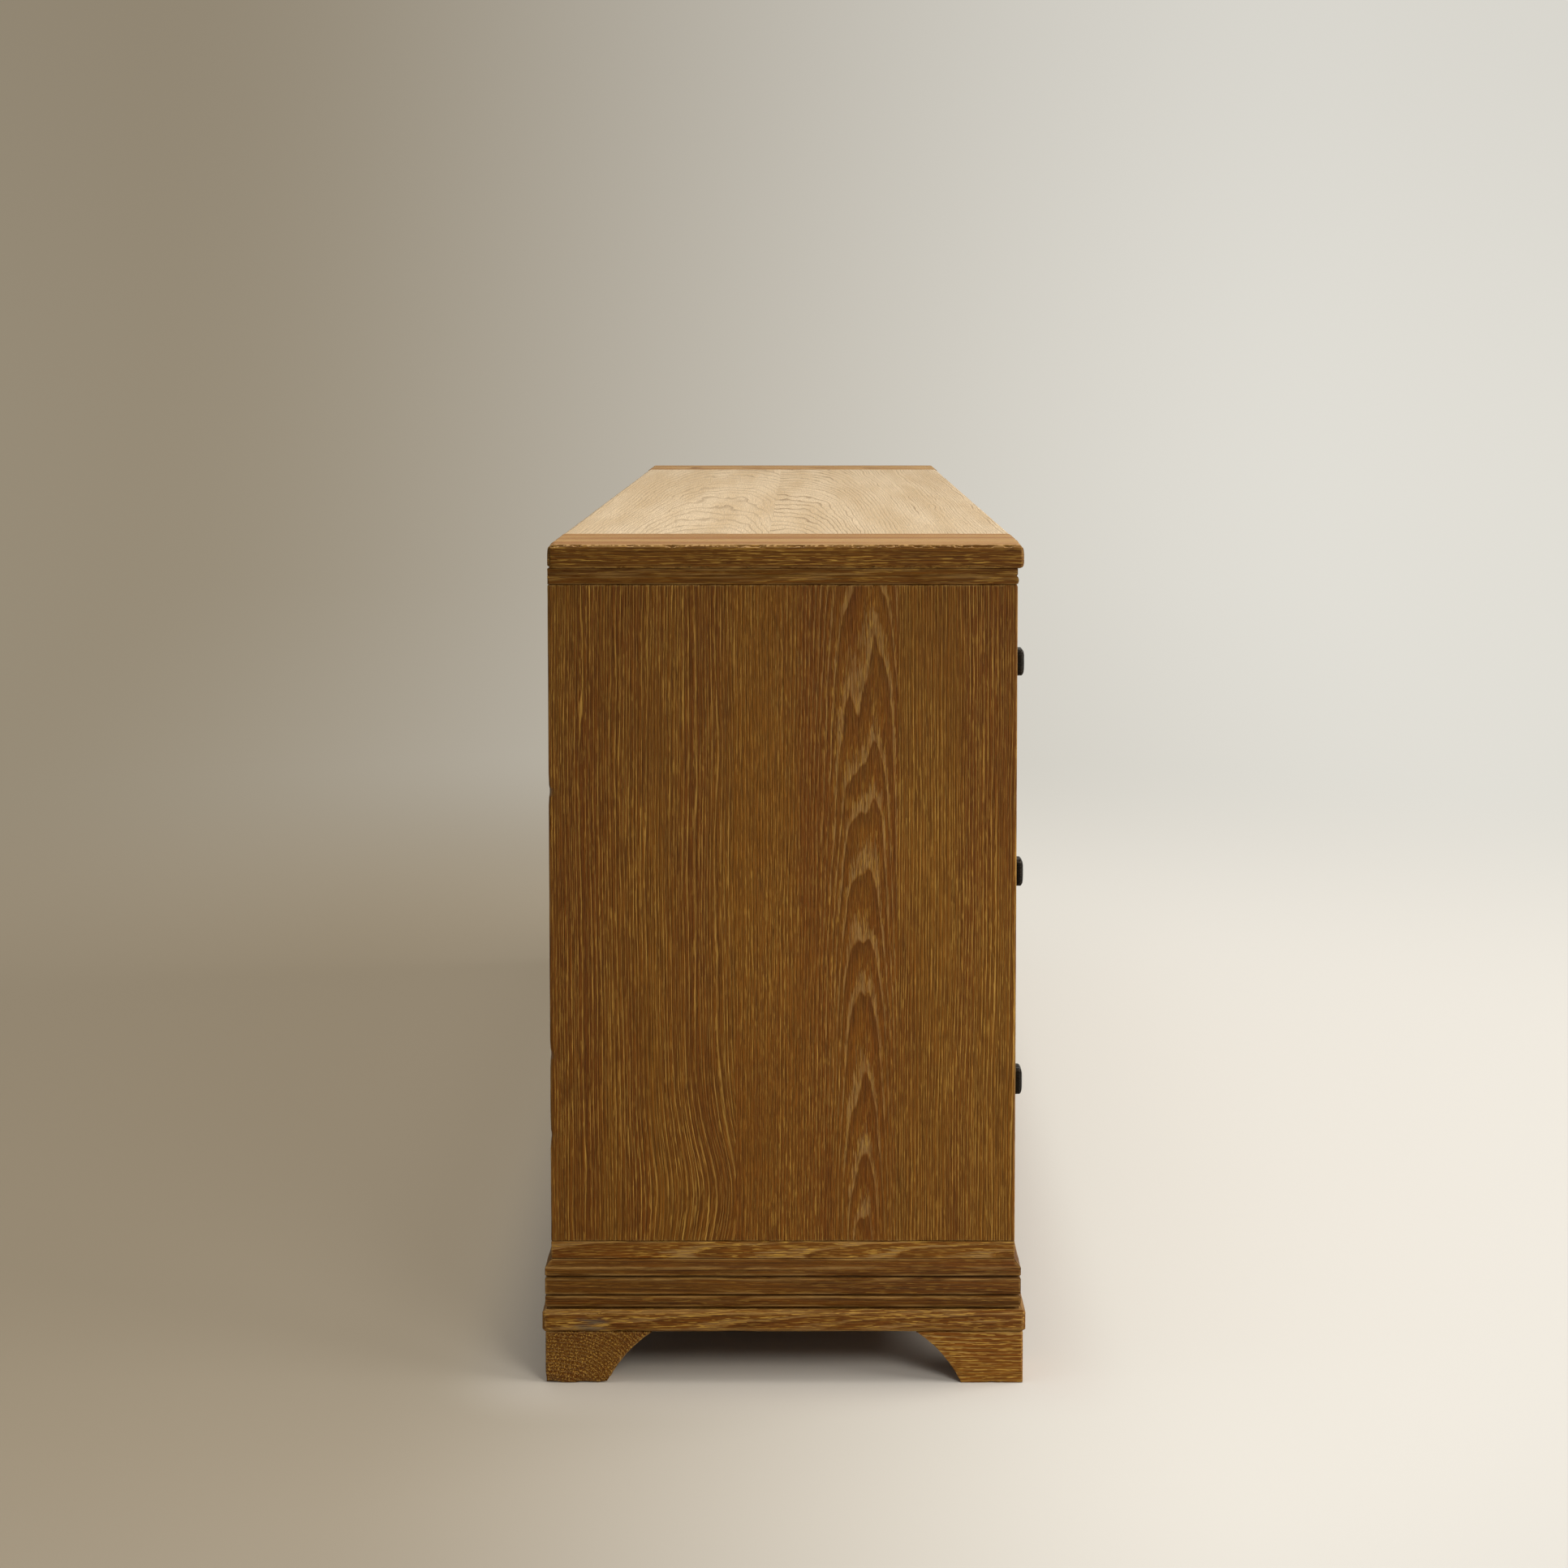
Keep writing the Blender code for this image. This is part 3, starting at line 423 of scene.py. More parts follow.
def oak_layers(finish):
    """Adds the pattern nodes and returns each layer as a socket of 0..1."""
    trunk = finish.attribute("grain")
    tone, spacing, wander = finish.parts(finish.attribute("board"))
    season, flat = year_rings(finish, trunk, spacing, wander)
    layers = {"trunk": trunk, "tone": tone, "flat": flat, "winter": finish.spread(season, *WINTER)}
    # rub: pale wear and painted highlight by the edges; glaze: glazing and painted shade in the hollows
    layers["rub"], layers["glaze"], layers["bruise"] = finish.parts(finish.attribute("handling"))
    for name, (along, across, detail, low, high, least) in CLOUDS.items():
        layers[name] = finish.spread(finish.cloud(trunk, (along, across, across), detail), low, high, least)

    teeth = finish.sum("SUBTRACT", finish.cloud(trunk, TEETH_CELLS), 0.5)
    bite = finish.sum("MULTIPLY_ADD", flat, TEETH_FLAT, TEETH_STEEP)
    ragged = finish.sum("MULTIPLY_ADD", teeth, bite, season)
    ragged = finish.sum("MULTIPLY_ADD", flat, -SPRING_FLAT, ragged)
    fall = finish.spread(ragged, *SPRING_FALL, 1.0, 0.0)
    layers["spring"] = finish.sum("MULTIPLY", finish.spread(season, *SPRING_RISE), fall)

    hold, show, flecks = finish.parts(finish.attribute("figure"))
    broken = finish.sum("MULTIPLY", layers["kept"], finish.spread(layers["streak"], 0.0, 1.0, *BROKEN))
    combed = finish.spread(layers["streak"], 0.0, 1.0, *COMBED)
    wax = finish.add("Mix", {0: flat, 2: broken, 3: combed}).outputs[0]
    layers["wax"] = finish.sum("MULTIPLY", finish.sum("MULTIPLY", wax, layers["spring"]), hold)
    filled = finish.sum("MULTIPLY", layers["filled"], finish.spread(season, *FLECK_FALL))
    layers["flecks"] = finish.sum("MULTIPLY", finish.sum("MULTIPLY", filled, layers["kept"]), flecks)
    late = finish.sum("MULTIPLY", finish.spread(season, *LATE), layers["kept"])
    layers["late"] = finish.sum("MULTIPLY", late, show)
    return layers


print("oak pattern ready")

# %% [markdown]
# ## The four oak finishes
# The sides are stained a honey brown and rubbed with a pale wax that stays in the pores, so the spring
# bands show light. The top is pale, partly from real bleach and partly as painted light on the faces that
# look up, and there the winter lines show dark. The cross boards at its ends are redder. Drawer boxes and
# the back are raw. One recipe with a table of colours would do, but the layers play different parts in
# each, so each finish is its own short function.

# %% Stained oak
HONEY = (0.188, 0.070, 0.0056)
RUSSET = (0.154, 0.048, 0.0037)
BARK = (0.070, 0.023, 0.0024)
WAX = (0.45, 0.243, 0.044)
WAX_GREY = (0.44, 0.280, 0.100)
GOLD = (0.44, 0.245, 0.042)
# pale edges: real wear and painted highlight along the arrises
RUBBED_AND_HIGHLIGHT = (0.42, 0.245, 0.075)
GLAZE_AND_PAINTED_SHADE = (0.035, 0.016, 0.005)
GREY_BRUISE = (0.10, 0.083, 0.062)
WEAR_CELLS = (22.0, 260.0, 260.0)
RUBBED_RANGE = (0.34, 0.66)
BRUISED_RANGE = (0.38, 0.58)
SHEEN = 0.10
SPRING_ROUGHER = 0.14             # added to the roughness in the porous bands
SPRING_SINK, PORE_SINK = 0.6, 0.5    # how low bands and pores lie, against the height of a fibre


def handled(finish, layers, colour, rubbed, glaze):
    """Pale rubbed edges, partly real wear and partly painted highlight; dark glazing with painted shade in
    the hollows; and grey bruises over any oak colour.
    """
    rough = finish.cloud(layers["trunk"], WEAR_CELLS, 3.0)
    rub = finish.sum("MULTIPLY", layers["rub"], finish.spread(rough, *RUBBED_RANGE))
    # pale rubbed edges, partly real wear and partly painted highlight
    colour = finish.tint(colour, rubbed, rub, share=0.6)
    # glazing and painted shade darken the hollows
    colour = finish.tint(colour, glaze, layers["glaze"], share=0.7)
    bruise = finish.sum("MULTIPLY", layers["bruise"], finish.spread(rough, *BRUISED_RANGE))
    return finish.mix(bruise, colour, GREY_BRUISE)


def fibred(finish, layers, colour, level, contrast, tone=0.0):
    """Brightens a colour along its fibres and, by tone, from board to board."""
    value = finish.sum("MULTIPLY_ADD", layers["fibre"], contrast, level)
    if tone:
        value = finish.sum("MULTIPLY_ADD", layers["tone"], tone, value)
    return finish.brighten(colour, value)


def stained_colour(finish, layers):
    colour = finish.mix(layers["patch"], HONEY, RUSSET)
    colour = finish.tint(colour, BARK, layers["winter"], share=0.4)
    colour = finish.tint(colour, BARK, layers["dash"], share=0.35)
    colour = fibred(finish, layers, colour, level=0.76, contrast=0.36, tone=0.3)
    colour = finish.mix(layers["wax"], colour, finish.mix(layers["flat"], WAX, WAX_GREY))
    colour = finish.mix(layers["flecks"], colour, GOLD)
    return handled(finish, layers, colour, RUBBED_AND_HIGHLIGHT, GLAZE_AND_PAINTED_SHADE)


def oak_surface(finish, layers, colour, rough, depth):
    """Colour, sheen and a brushed relief in which the porous bands lie low."""
    roughness = finish.spread(layers["spring"], 0.0, 1.0, rough, rough + SPRING_ROUGHER)
    finish.feed(finish.skin.inputs["Base Color"], colour)
    finish.feed(finish.skin.inputs["Roughness"], roughness)
    finish.skin.inputs["Specular IOR Level"].default_value = SHEEN
    relief = finish.sum("MULTIPLY_ADD", layers["spring"], -SPRING_SINK, layers["fibre"])
    relief = finish.sum("MULTIPLY_ADD", layers["pores"], -PORE_SINK, relief)
    finish.raise_skin(relief, depth)
    return finish.material


def brown_oak():
    finish = Finish("brown_oak")
    layers = oak_layers(finish)
    return oak_surface(finish, layers, stained_colour(finish, layers), rough=0.50, depth=0.0004)


print("stained oak ready")

# %% Bleached oak, red oak and raw oak
# colours of faces that look up: partly real bleach, partly painted light
BLEACHED = (0.72, 0.56, 0.365)
BLEACHED_WARM = (0.63, 0.465, 0.275)
BLEACHED_LINE = (0.31, 0.205, 0.108)
BLEACHED_PORE = (0.52, 0.40, 0.26)
PINK = (0.60, 0.365, 0.140)
PINK_DEEP = (0.40, 0.19, 0.064)
PINK_LINE = (0.26, 0.125, 0.044)
PINK_WAX = (0.68, 0.50, 0.27)
RAW = (0.50, 0.335, 0.175)
RAW_WARM = (0.43, 0.27, 0.13)
RAW_LINE = (0.31, 0.185, 0.085)
BORDER_CELLS = (260.0, 500.0, 500.0)
BORDER_RUBBED, BORDER_PLAIN = 2.4, 0.1    # how ragged the border of the bleach and painted light is, on worn and on sound edges
LOOKS_UP = (0.80, 0.88)           # the bleach and painted light stop between these upward parts of the normal


def upper_faces(finish, layers):
    """1 on faces that look up, which take a pale colour that is partly real bleach and partly painted
    light, with a ragged border where it stops at a worn edge.
    """
    up = finish.parts(finish.add("NewGeometry").outputs["Normal"])[2]
    ragged = finish.sum("SUBTRACT", finish.cloud(layers["trunk"], BORDER_CELLS, 3.0), 0.5)
    reach = finish.sum("MULTIPLY_ADD", layers["rub"], BORDER_RUBBED, BORDER_PLAIN)
    return finish.spread(finish.sum("MULTIPLY_ADD", ragged, reach, up), *LOOKS_UP)


def pale_oak():
    finish = Finish("pale_oak")
    layers = oak_layers(finish)
    colour = finish.mix(layers["patch"], BLEACHED, BLEACHED_WARM)
    colour = finish.tint(colour, BLEACHED_PORE, layers["winter"], share=0.25)
    colour = finish.tint(colour, BLEACHED_LINE, layers["late"], share=0.95)
    colour = finish.tint(colour, BLEACHED_PORE, layers["dash"], share=0.5)
    colour = fibred(finish, layers, colour, level=0.93, contrast=0.14)
    # faces that look up take the pale colour, partly real bleach and partly painted light; the others take
    # the stained colour
    colour = finish.mix(upper_faces(finish, layers), stained_colour(finish, layers), colour)
    return oak_surface(finish, layers, colour, rough=0.52, depth=0.00014)


def red_oak():
    finish = Finish("red_oak")
    layers = oak_layers(finish)
    colour = finish.mix(layers["patch"], PINK, PINK_DEEP)
    colour = finish.tint(colour, PINK_LINE, layers["winter"], share=0.85)
    colour = finish.tint(colour, PINK_WAX, layers["wax"], share=0.7)
    colour = fibred(finish, layers, colour, level=0.86, contrast=0.24)
    # faces that look up take the pink colour, partly real and partly painted light; the others take the
    # stained colour
    colour = finish.mix(upper_faces(finish, layers), stained_colour(finish, layers), colour)
    return oak_surface(finish, layers, colour, rough=0.5, depth=0.0004)


def inside_oak():
    finish = Finish("inside_oak")
    layers = oak_layers(finish)
    colour = finish.mix(layers["patch"], RAW, RAW_WARM)
    colour = finish.tint(colour, RAW_LINE, layers["winter"], share=0.6)
    colour = finish.tint(colour, RAW_LINE, layers["pores"], share=0.4)
    colour = fibred(finish, layers, colour, level=0.85, contrast=0.3, tone=0.12)
    # raw oak: the hollows darken to RAW_LINE as painted shade
    colour = handled(finish, layers, colour, RAW, RAW_LINE)
    return oak_surface(finish, layers, colour, rough=0.66, depth=0.0003)


print("pale, red and raw oak ready")

# %% [markdown]
# ## Iron and brass
# The knobs are cast iron, nearly black, with a soft sheen and brighter edges where hands have been.
# The hinges are brass that has gone brown. Both are metal shaders. A single colour would look like plastic,
# so noise moves their roughness, and the handling attribute brightens the edges.

# %% Iron and brass finishes
IRON = (0.006, 0.005, 0.004)
IRON_BROWN = (0.011, 0.008, 0.005)
IRON_EDGE = (0.05, 0.043, 0.036)
BRASS = (0.42, 0.29, 0.12)
BRASS_BROWN = (0.14, 0.085, 0.035)
BRASS_EDGE = (0.60, 0.44, 0.20)
STAIN_CELLS = (120.0, 120.0, 120.0)
STAIN_RANGE = (0.38, 0.64)
STAIN_ROUGHER = 0.2
GRIT_CELLS = (900.0, 900.0, 900.0)
GRIT_RANGE = (0.35, 0.6)
GRIT_HEIGHT = 0.3                 # against the height of a stain


def metal(name, clean, aged, edge, rough, dents):
    finish = Finish(name)
    place = finish.add("TexCoord").outputs["Object"]
    stains = finish.spread(finish.cloud(place, STAIN_CELLS, 4.0), *STAIN_RANGE)
    grit = finish.cloud(place, GRIT_CELLS, 2.0)
    rub = finish.parts(finish.attribute("handling"))[0]
    rub = finish.sum("MULTIPLY", rub, finish.spread(grit, *GRIT_RANGE))
    colour = finish.mix(rub, finish.mix(stains, clean, aged), edge)
    roughness = finish.spread(stains, 0.0, 1.0, rough, rough + STAIN_ROUGHER)
    finish.feed(finish.skin.inputs["Base Color"], colour)
    finish.feed(finish.skin.inputs["Roughness"], roughness)
    finish.skin.inputs["Metallic"].default_value = 1.0
    finish.raise_skin(finish.sum("MULTIPLY_ADD", grit, GRIT_HEIGHT, stains), dents)
    return finish.material


finishes = {
    "brown_oak": brown_oak(),
    "pale_oak": pale_oak(),
    "red_oak": red_oak(),
    "inside_oak": inside_oak(),
    "dark_iron": metal("dark_iron", IRON, IRON_BROWN, IRON_EDGE, rough=0.38, dents=0.0002),
    "aged_brass": metal("aged_brass", BRASS, BRASS_BROWN, BRASS_EDGE, rough=0.34, dents=0.0001),
}
print("finishes:", ", ".join(finishes))

# %% [markdown]
# ## How a board was sawn
# Each board came out of a trunk at its own place, and that place decides its figure. A board whose
# heart lies just behind its face shows arches; one whose heart lies far to the side shows straight
# lines. So a board is described by the axis that it was sawn along, the axis that looks out of its
# face, where the heart lies, and how much the trunk leaned. What isn't said is drawn from a random
# generator that is seeded with the board's name, so every run gives the same boards.

# %% Describe a board
X, Y, Z = 0, 1, 2
TRUNK_LENGTH = 40.0               # boards are taken from anywhere along this length of noise
HEART_REACH = 1.4                 # hearts are drawn within this many half widths of a board's middle
LEAST_HALF = 0.05
DEPTHS = (0.03, 0.09)
LEANS = (0.012, 0.04)
TONES = (-0.6, 0.6)
# Ring width and bends in metres, then how much wax, late lines and flecks show. A coarse below 1 enlarges.
PLAIN = {"rings": 0.0034, "wander": 0.006, "wax": 1.0, "lines": 1.0, "flecks": 0.5, "coarse": 1.0,
         "swirl": None}


def sawn(node, along, deep, part="", **said):
    """The place of a board in its trunk. along and deep are axis numbers, and heart is a coordinate.
    A swirl is a knot just off the board: its place along and across, its reach, and how far it pushes."""
    chance = random.Random(node + part)
    low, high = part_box(node)
    across = X + Y + Z - along - deep
    middle, half = (low[across] + high[across]) / 2, (high[across] - low[across]) / 2
    drawn = {
        "heart": middle + chance.uniform(-HEART_REACH, HEART_REACH) * max(half, LEAST_HALF),
        "depth": chance.uniform(*DEPTHS),
        "lean": chance.choice((-1, 1)) * chance.uniform(*LEANS),
        "tone": chance.uniform(*TONES),
        "shift": chance.uniform(0.0, TRUNK_LENGTH),
    }
    place = {"along": along, "across": across, "deep": deep, "start": low[along], "face": low[deep]}
    return {**PLAIN, **drawn, **said, **place}


def lay_grain(bm, board_of):
    """Writes each face corner's place in its trunk. board_of picks the board by the face's middle."""
    grain = bm.loops.layers.float_vector.new("grain")
    board_layer = bm.loops.layers.float_vector.new("board")
    figure = bm.loops.layers.float_vector.new("figure")
    for face in bm.faces:
        board = board_of(face.calc_center_median())
        for loop in face.loops:
            spot = loop.vert.co
            run = spot[board["along"]] - board["start"]
            depth = board["depth"] + board["lean"] * run + spot[board["deep"]] - board["face"]
            aside = spot[board["across"]] - board["heart"]
            if board["swirl"]:
                knot_along, knot_across, reach, push = board["swirl"]
                gap = (spot[board["along"]] - knot_along) ** 2 + (spot[board["across"]] - knot_across) ** 2
                aside += push * math.exp(-gap / reach ** 2)
            loop[grain] = (run + board["shift"], aside * board["coarse"], depth * board["coarse"])
            loop[board_layer] = (board["tone"], board["rings"] * board["coarse"], board["wander"])
            loop[figure] = (board["wax"], board["lines"], board["flecks"])


def one_board(board):
    return lambda centre: board


def glued(axis, seams, boards):
    """Boards side by side along one axis, with a seam between each two, in rising order."""
    return lambda centre: boards[sum(centre[axis] > seam for seam in seams)]


print("boards can be sawn")

# %% [markdown]
# ## A worn copy of a solid
# The frame's solids have crisp edges and large flat faces. A bevel modifier alone would round every edge
# alike. Instead each copy is welded, its sharp edges are eased, and it is cut across at many stations, so
# that there are points to move. Points near an edge then sink a little by noise, which leaves small chips.
# Every point also remembers how near it is to an edge or a hollow, for the finish: pale wear with painted
# highlight by the edges, and glazing with painted shade in the hollows.

# %% Ease, cut and wear
WELD = 0.00001
FLAT_TURN = math.radians(0.5)     # faces that turn less than this become one
SHARP_TURN = math.radians(20)
EASED_TURN = math.radians(50)
SMOOTH_TURN = math.radians(35)
RIM_CUTS = (0.0025, 0.007)        # extra cuts this far from the ends of a board
RIM_ROOM = 6 * RIM_CUTS[-1]       # a shorter side gets none
LONG_EDGE = 0.05
STRAIGHT = 1.01                   # an edge that strays from an axis by less than this share follows it
LIP = 0.0022                      # width of the strip along a long edge where wear and painted highlight, or glazing and painted shade, lie
# how far from a hollow its glazing and painted shade reach
GLAZE_AND_SHADE_REACH = 0.0012
BITES = ((60.0, 1.0), (190.0, 0.6), (420.0, 0.5))    # noise that chips an edge: cells per metre, share
BITE_START = 0.1                  # weaker noise leaves the edge whole
EVEN_WEAR, BITE_WEAR = 0.15, 1.6    # parts of a chip's depth, all along an edge and in a bite
SWELL_CELLS, SWELL = 9.0, 0.00008    # slow unevenness of every face


def welded(node):
    bm = bmesh.new()
    bm.from_mesh(frame["nodes"][node].data)
    bmesh.ops.remove_doubles(bm, verts=bm.verts[:], dist=WELD)
    bmesh.ops.dissolve_limit(bm, angle_limit=FLAT_TURN, verts=bm.verts[:], edges=bm.edges[:])
    return bm


def turn_of(edge):
    """How far an edge turns: above 0 for an outer edge, below 0 in a hollow."""
    return edge.calc_face_angle_signed(0.0) if len(edge.link_faces) == 2 else 0.0


def edge_ends(bm, wanted):
    return [[np.array(v.co) for v in edge.verts] for edge in bm.edges if wanted(turn_of(edge))]


def gap_to_edges(points, edges):
    nearest = np.full(len(points), 1.0)
    for first, last in edges:
        run = last - first
        share = np.clip((points - first) @ run / (run @ run), 0.0, 1.0)
        nearest = np.minimum(nearest, np.linalg.norm(points - first - share[:, None] * run, axis=1))
    return nearest


def ease_edges(bm, width):
    """Rounds the edges that are still square."""
    square = [edge for edge in bm.edges if turn_of(edge) > EASED_TURN]
    if width and square:
        bmesh.ops.bevel(bm, geom=square, offset=width, segments=2, profile=0.6, affect="EDGES",
                        clamp_overlap=True)


def slice_at(bm, point, normal):
    bmesh.ops.bisect_plane(bm, geom=bm.verts[:] + bm.edges[:] + bm.faces[:], dist=WELD / 10,
                           plane_co=point, plane_no=normal)


def cut_at(bm, axis, spot):
    normal = Vector((axis == X, axis == Y, axis == Z))
    slice_at(bm, normal * spot, normal)


def stations(low, high, step):
    count = max(1, round((high - low) / step))
    spots = [low + (high - low) * i / count for i in range(1, count)]
    if high - low > RIM_ROOM:
        spots += [low + rim for rim in RIM_CUTS] + [high - rim for rim in RIM_CUTS]
    return sorted(spots)


def cut_grid(bm, node, step):
    low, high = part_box(node)
    for axis in (X, Y, Z):
        for spot in stations(low[axis], high[axis], step):
            cut_at(bm, axis, spot)


def lip_cuts(edges):
    """Planes beside each long edge that follows an axis, so that its wear and painted highlight, or its
    glazing and painted shade, stays narrow.
    """
    spots = set()
    for first, last in edges:
        run = np.abs(last - first)
        if run.max() > LONG_EDGE and run.sum() < STRAIGHT * run.max():
            for axis in {X, Y, Z} - {int(run.argmax())}:
                spots.update((axis, round(float(first[axis]) + offset, 4)) for offset in (-LIP, LIP))
    return sorted(spots)


def scribe(bm, axis, spot, width, depth):
    """Cuts a fine V along the plane where two boards meet."""
    for offset in (-width, 0.0, width):
        cut_at(bm, axis, spot + offset)
    bm.normal_update()
    for vert in bm.verts:
        if abs(vert.co[axis] - spot) < WELD:
            vert.co -= vert.normal * depth


def wear(bm, outer, hollow, chip, reach):
    """Sinks the edges by noise and stores, on every point, rubbing for wear and painted highlight, and
    nearness to hollows for glazing and painted shade.
    """
    handling = bm.verts.layers.float_vector.new("handling")
    bm.verts.ensure_lookup_table()
    bm.normal_update()
    points = np.array([v.co for v in bm.verts])
    rub = np.exp(-(gap_to_edges(points, outer) / reach) ** 2)
    glaze = np.exp(-(gap_to_edges(points, hollow) / GLAZE_AND_SHADE_REACH) ** 2)
    for vert, rubbed, glazed_and_shaded in zip(bm.verts, rub, glaze):
        bites = sum(share * noise.noise(vert.co * cells) for cells, share in BITES)
        chips = EVEN_WEAR + BITE_WEAR * max(0.0, bites - BITE_START)
        swell = 0.5 + 0.5 * noise.noise(vert.co * SWELL_CELLS)
        vert.co -= vert.normal * (chip * rubbed * chips + SWELL * swell)
        vert[handling] = (rubbed, glazed_and_shaded, 0.0)
    return handling


print("wear tools ready")

# %% Turn a worn copy into a piece
SLOT_OF = {entry["node"]: entry["material_slot"] for entry in frame["record"]["subparts"]}
OAK_REACH = 0.0013                # how far from its edges oak is rubbed, with pale wear and painted highlight
made = []


def dress(node, bm, prefix):
    """Makes the piece that stands for a node, with its body, slot and finish."""
    mesh = bpy.data.meshes.new(prefix + node)
    bm.to_mesh(mesh)
    bm.free()
    mesh.shade_smooth()
    mesh.set_sharp_from_angle(angle=SMOOTH_TURN)
    piece = link(bpy.data.objects.new(mesh.name, mesh))
    mesh.materials.append(finishes[SLOT_OF[node]])
    piece.modifiers.new("flat_faces_stay_flat", "WEIGHTED_NORMAL").keep_sharp = True
    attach(piece, frame["nodes"][node]["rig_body"])
    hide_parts(node)
    made.append(piece)
    return piece


def knock(bm, handling, spot, size, depth, stain):
    """A dent round one spot. size is its reach along each axis, and stain bruises it."""
    for vert in bm.verts:
        gap = math.sqrt(sum(((c - s) / r) ** 2 for c, s, r in zip(vert.co, spot, size)))
        if gap < 1.0:
            fall = (1.0 - gap) ** 0.5
            vert.co -= vert.normal * depth * fall
            vert[handling][2] = max(vert[handling][2], stain * fall)


def on_plane(ends, planes):
    return any(all(abs(end[axis] - spot) < WELD for end in ends) for axis, spot in planes)


def timber(node, board_of, step=0.03, arris=0.0, chip=0.0004, glazed_and_shaded=True, scribes=(), mitres=(), cuts=(),
           knocks=(), joints=()):
    """A worn oak copy of a node. arris eases edges that are still square in the frame, and edges in the
    plane of a joint keep their shape."""
    bm = welded(node)
    outer = [ends for ends in edge_ends(bm, lambda turn: turn > SHARP_TURN) if not on_plane(ends, joints)]
    # hollow edges get glazing and painted shade
    hollow = edge_ends(bm, lambda turn: glazed_and_shaded and turn < -SHARP_TURN)
    ease_edges(bm, arris)
    cut_grid(bm, node, step)
    for axis, spot in [*cuts, *lip_cuts(outer), *lip_cuts(hollow)]:
        cut_at(bm, axis, spot)
    for point, normal in mitres:
        slice_at(bm, point, normal)
    for axis, spot, width, depth in scribes:
        scribe(bm, axis, spot, width, depth)
    handling = wear(bm, outer, hollow, chip, OAK_REACH)
    for spot, size, depth, stain in knocks:
        knock(bm, handling, spot, size, depth, stain)
    lay_grain(bm, board_of)
    return dress(node, bm, "oak_")


print("slots:", len(SLOT_OF), "nodes")

# %% [markdown]
# ## The top
# The top is two pale boards glued edge to edge, held flat at both ends by a redder cross board whose grain
# runs the other way. On the top and on the cross boards, faces that look up are paler, partly from real
# bleach and partly as painted light, and the other faces keep the stained colour. Seen from the end, the
# pale boards show long arches, so their hearts lie a little below the face. The seam is a real, very fine
# V. The cross board nearest the picture has the most knocks along its upper edge, so it gets the finest
# cuts, the deepest chips and three corners that are rounded off.

# %% Field and cross boards
FIELD_SEAM = 0.0227
SEAM_V = (0.0005, 0.0003)         # half the width of a seam's V, and its depth
CHIP_STEP = 0.0024                # between the cuts along the chipped edge
field_boards = [
    sawn("top_field", X, Z, "front", heart=0.016, depth=0.030, lean=0.045, rings=0.0036, wander=0.014),
    sawn("top_field", X, Z, "back", heart=0.090, depth=0.040, lean=0.035, rings=0.0036, wander=0.018,
         lines=0.6),
]
cross_joints = [(X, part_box("breadboard_left")[1].x), (X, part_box("breadboard_right")[0].x)]
timber("top_field", glued(Y, [FIELD_SEAM], field_boards), step=0.04, chip=0.0005,
       scribes=[(Y, FIELD_SEAM, *SEAM_V)], joints=cross_joints)

near_cross = sawn("breadboard_left", Y, X, heart=0.72, depth=0.05, rings=0.0030, tone=-0.55, wax=0.4,
                  flecks=1.0)
low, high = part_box("breadboard_left")
fine_cuts = [(Y, low.y + CHIP_STEP * i) for i in range(1, int((high.y - low.y) / CHIP_STEP))]
corner_knocks = [                 # spot, size, depth and stain
    ((low.x, low.y, high.z), (0.060, 0.006, 0.006), 0.0017, 0.0),
    ((low.x, low.y, low.z), (0.040, 0.004, 0.004), 0.0010, 0.0),
    ((low.x, high.y, high.z), (0.040, 0.006, 0.006), 0.0014, 0.0),
]
timber("breadboard_left", one_board(near_cross), step=0.02, chip=0.0036, cuts=fine_cuts,
       knocks=corner_knocks, joints=cross_joints)
far_cross = sawn("breadboard_right", Y, Z, tone=-0.4)
timber("breadboard_right", one_board(far_cross), step=0.012, chip=0.0012, joints=cross_joints)
print("top:", [piece.name for piece in made])

# %% [markdown]
# ## Mouldings
# A quirk and bead runs under the top on the front and both ends, and a taller moulding of cap, fascia and
# undercut band runs round the foot of the carcass. Their sections are already in the frame, so the copies
# only need worn lips with painted highlight, grain along each length, and dark glazing with painted shade
# in the lower grooves.

# %% Upper and lower mouldings
FAR_STEP = 0.03
MOULDINGS = {                     # sides, tone, wax, flecks, step at the near end, and whether its grooves get glazing and painted shade
    "top_moulding_": (("front", "left", "right"), -0.5, 0.3, 0.8, 0.012, False),
    "base_moulding_": (("front", "back", "left", "right"), -0.95, 0.1, 0.4, 0.010, True),
}
for prefix, (sides, tone, wax, flecks, near_step, glazed_and_shaded) in MOULDINGS.items():
    for word in sides:
        node = prefix + word
        along, deep = (Y, X) if word in ("left", "right") else (X, Y)
        board = sawn(node, along, deep, tone=tone, wax=wax, flecks=flecks)
        step = near_step if word == "left" else FAR_STEP
        timber(node, one_board(board), step=step, chip=0.0005, glazed_and_shaded=glazed_and_shaded)
print("mouldings:", len(made), "pieces so far")

# %% [markdown]
# ## The carcass
# The end panel fills most of the picture. It is three boards glued side by side: the middle one was
# sawn flat over its heart and shows a column of arches that point up, and the outer two show close,
# nearly upright lines. The floor of the carcass runs through below it, so its end grain shows as a
# strip. The other boards are drawn by chance.

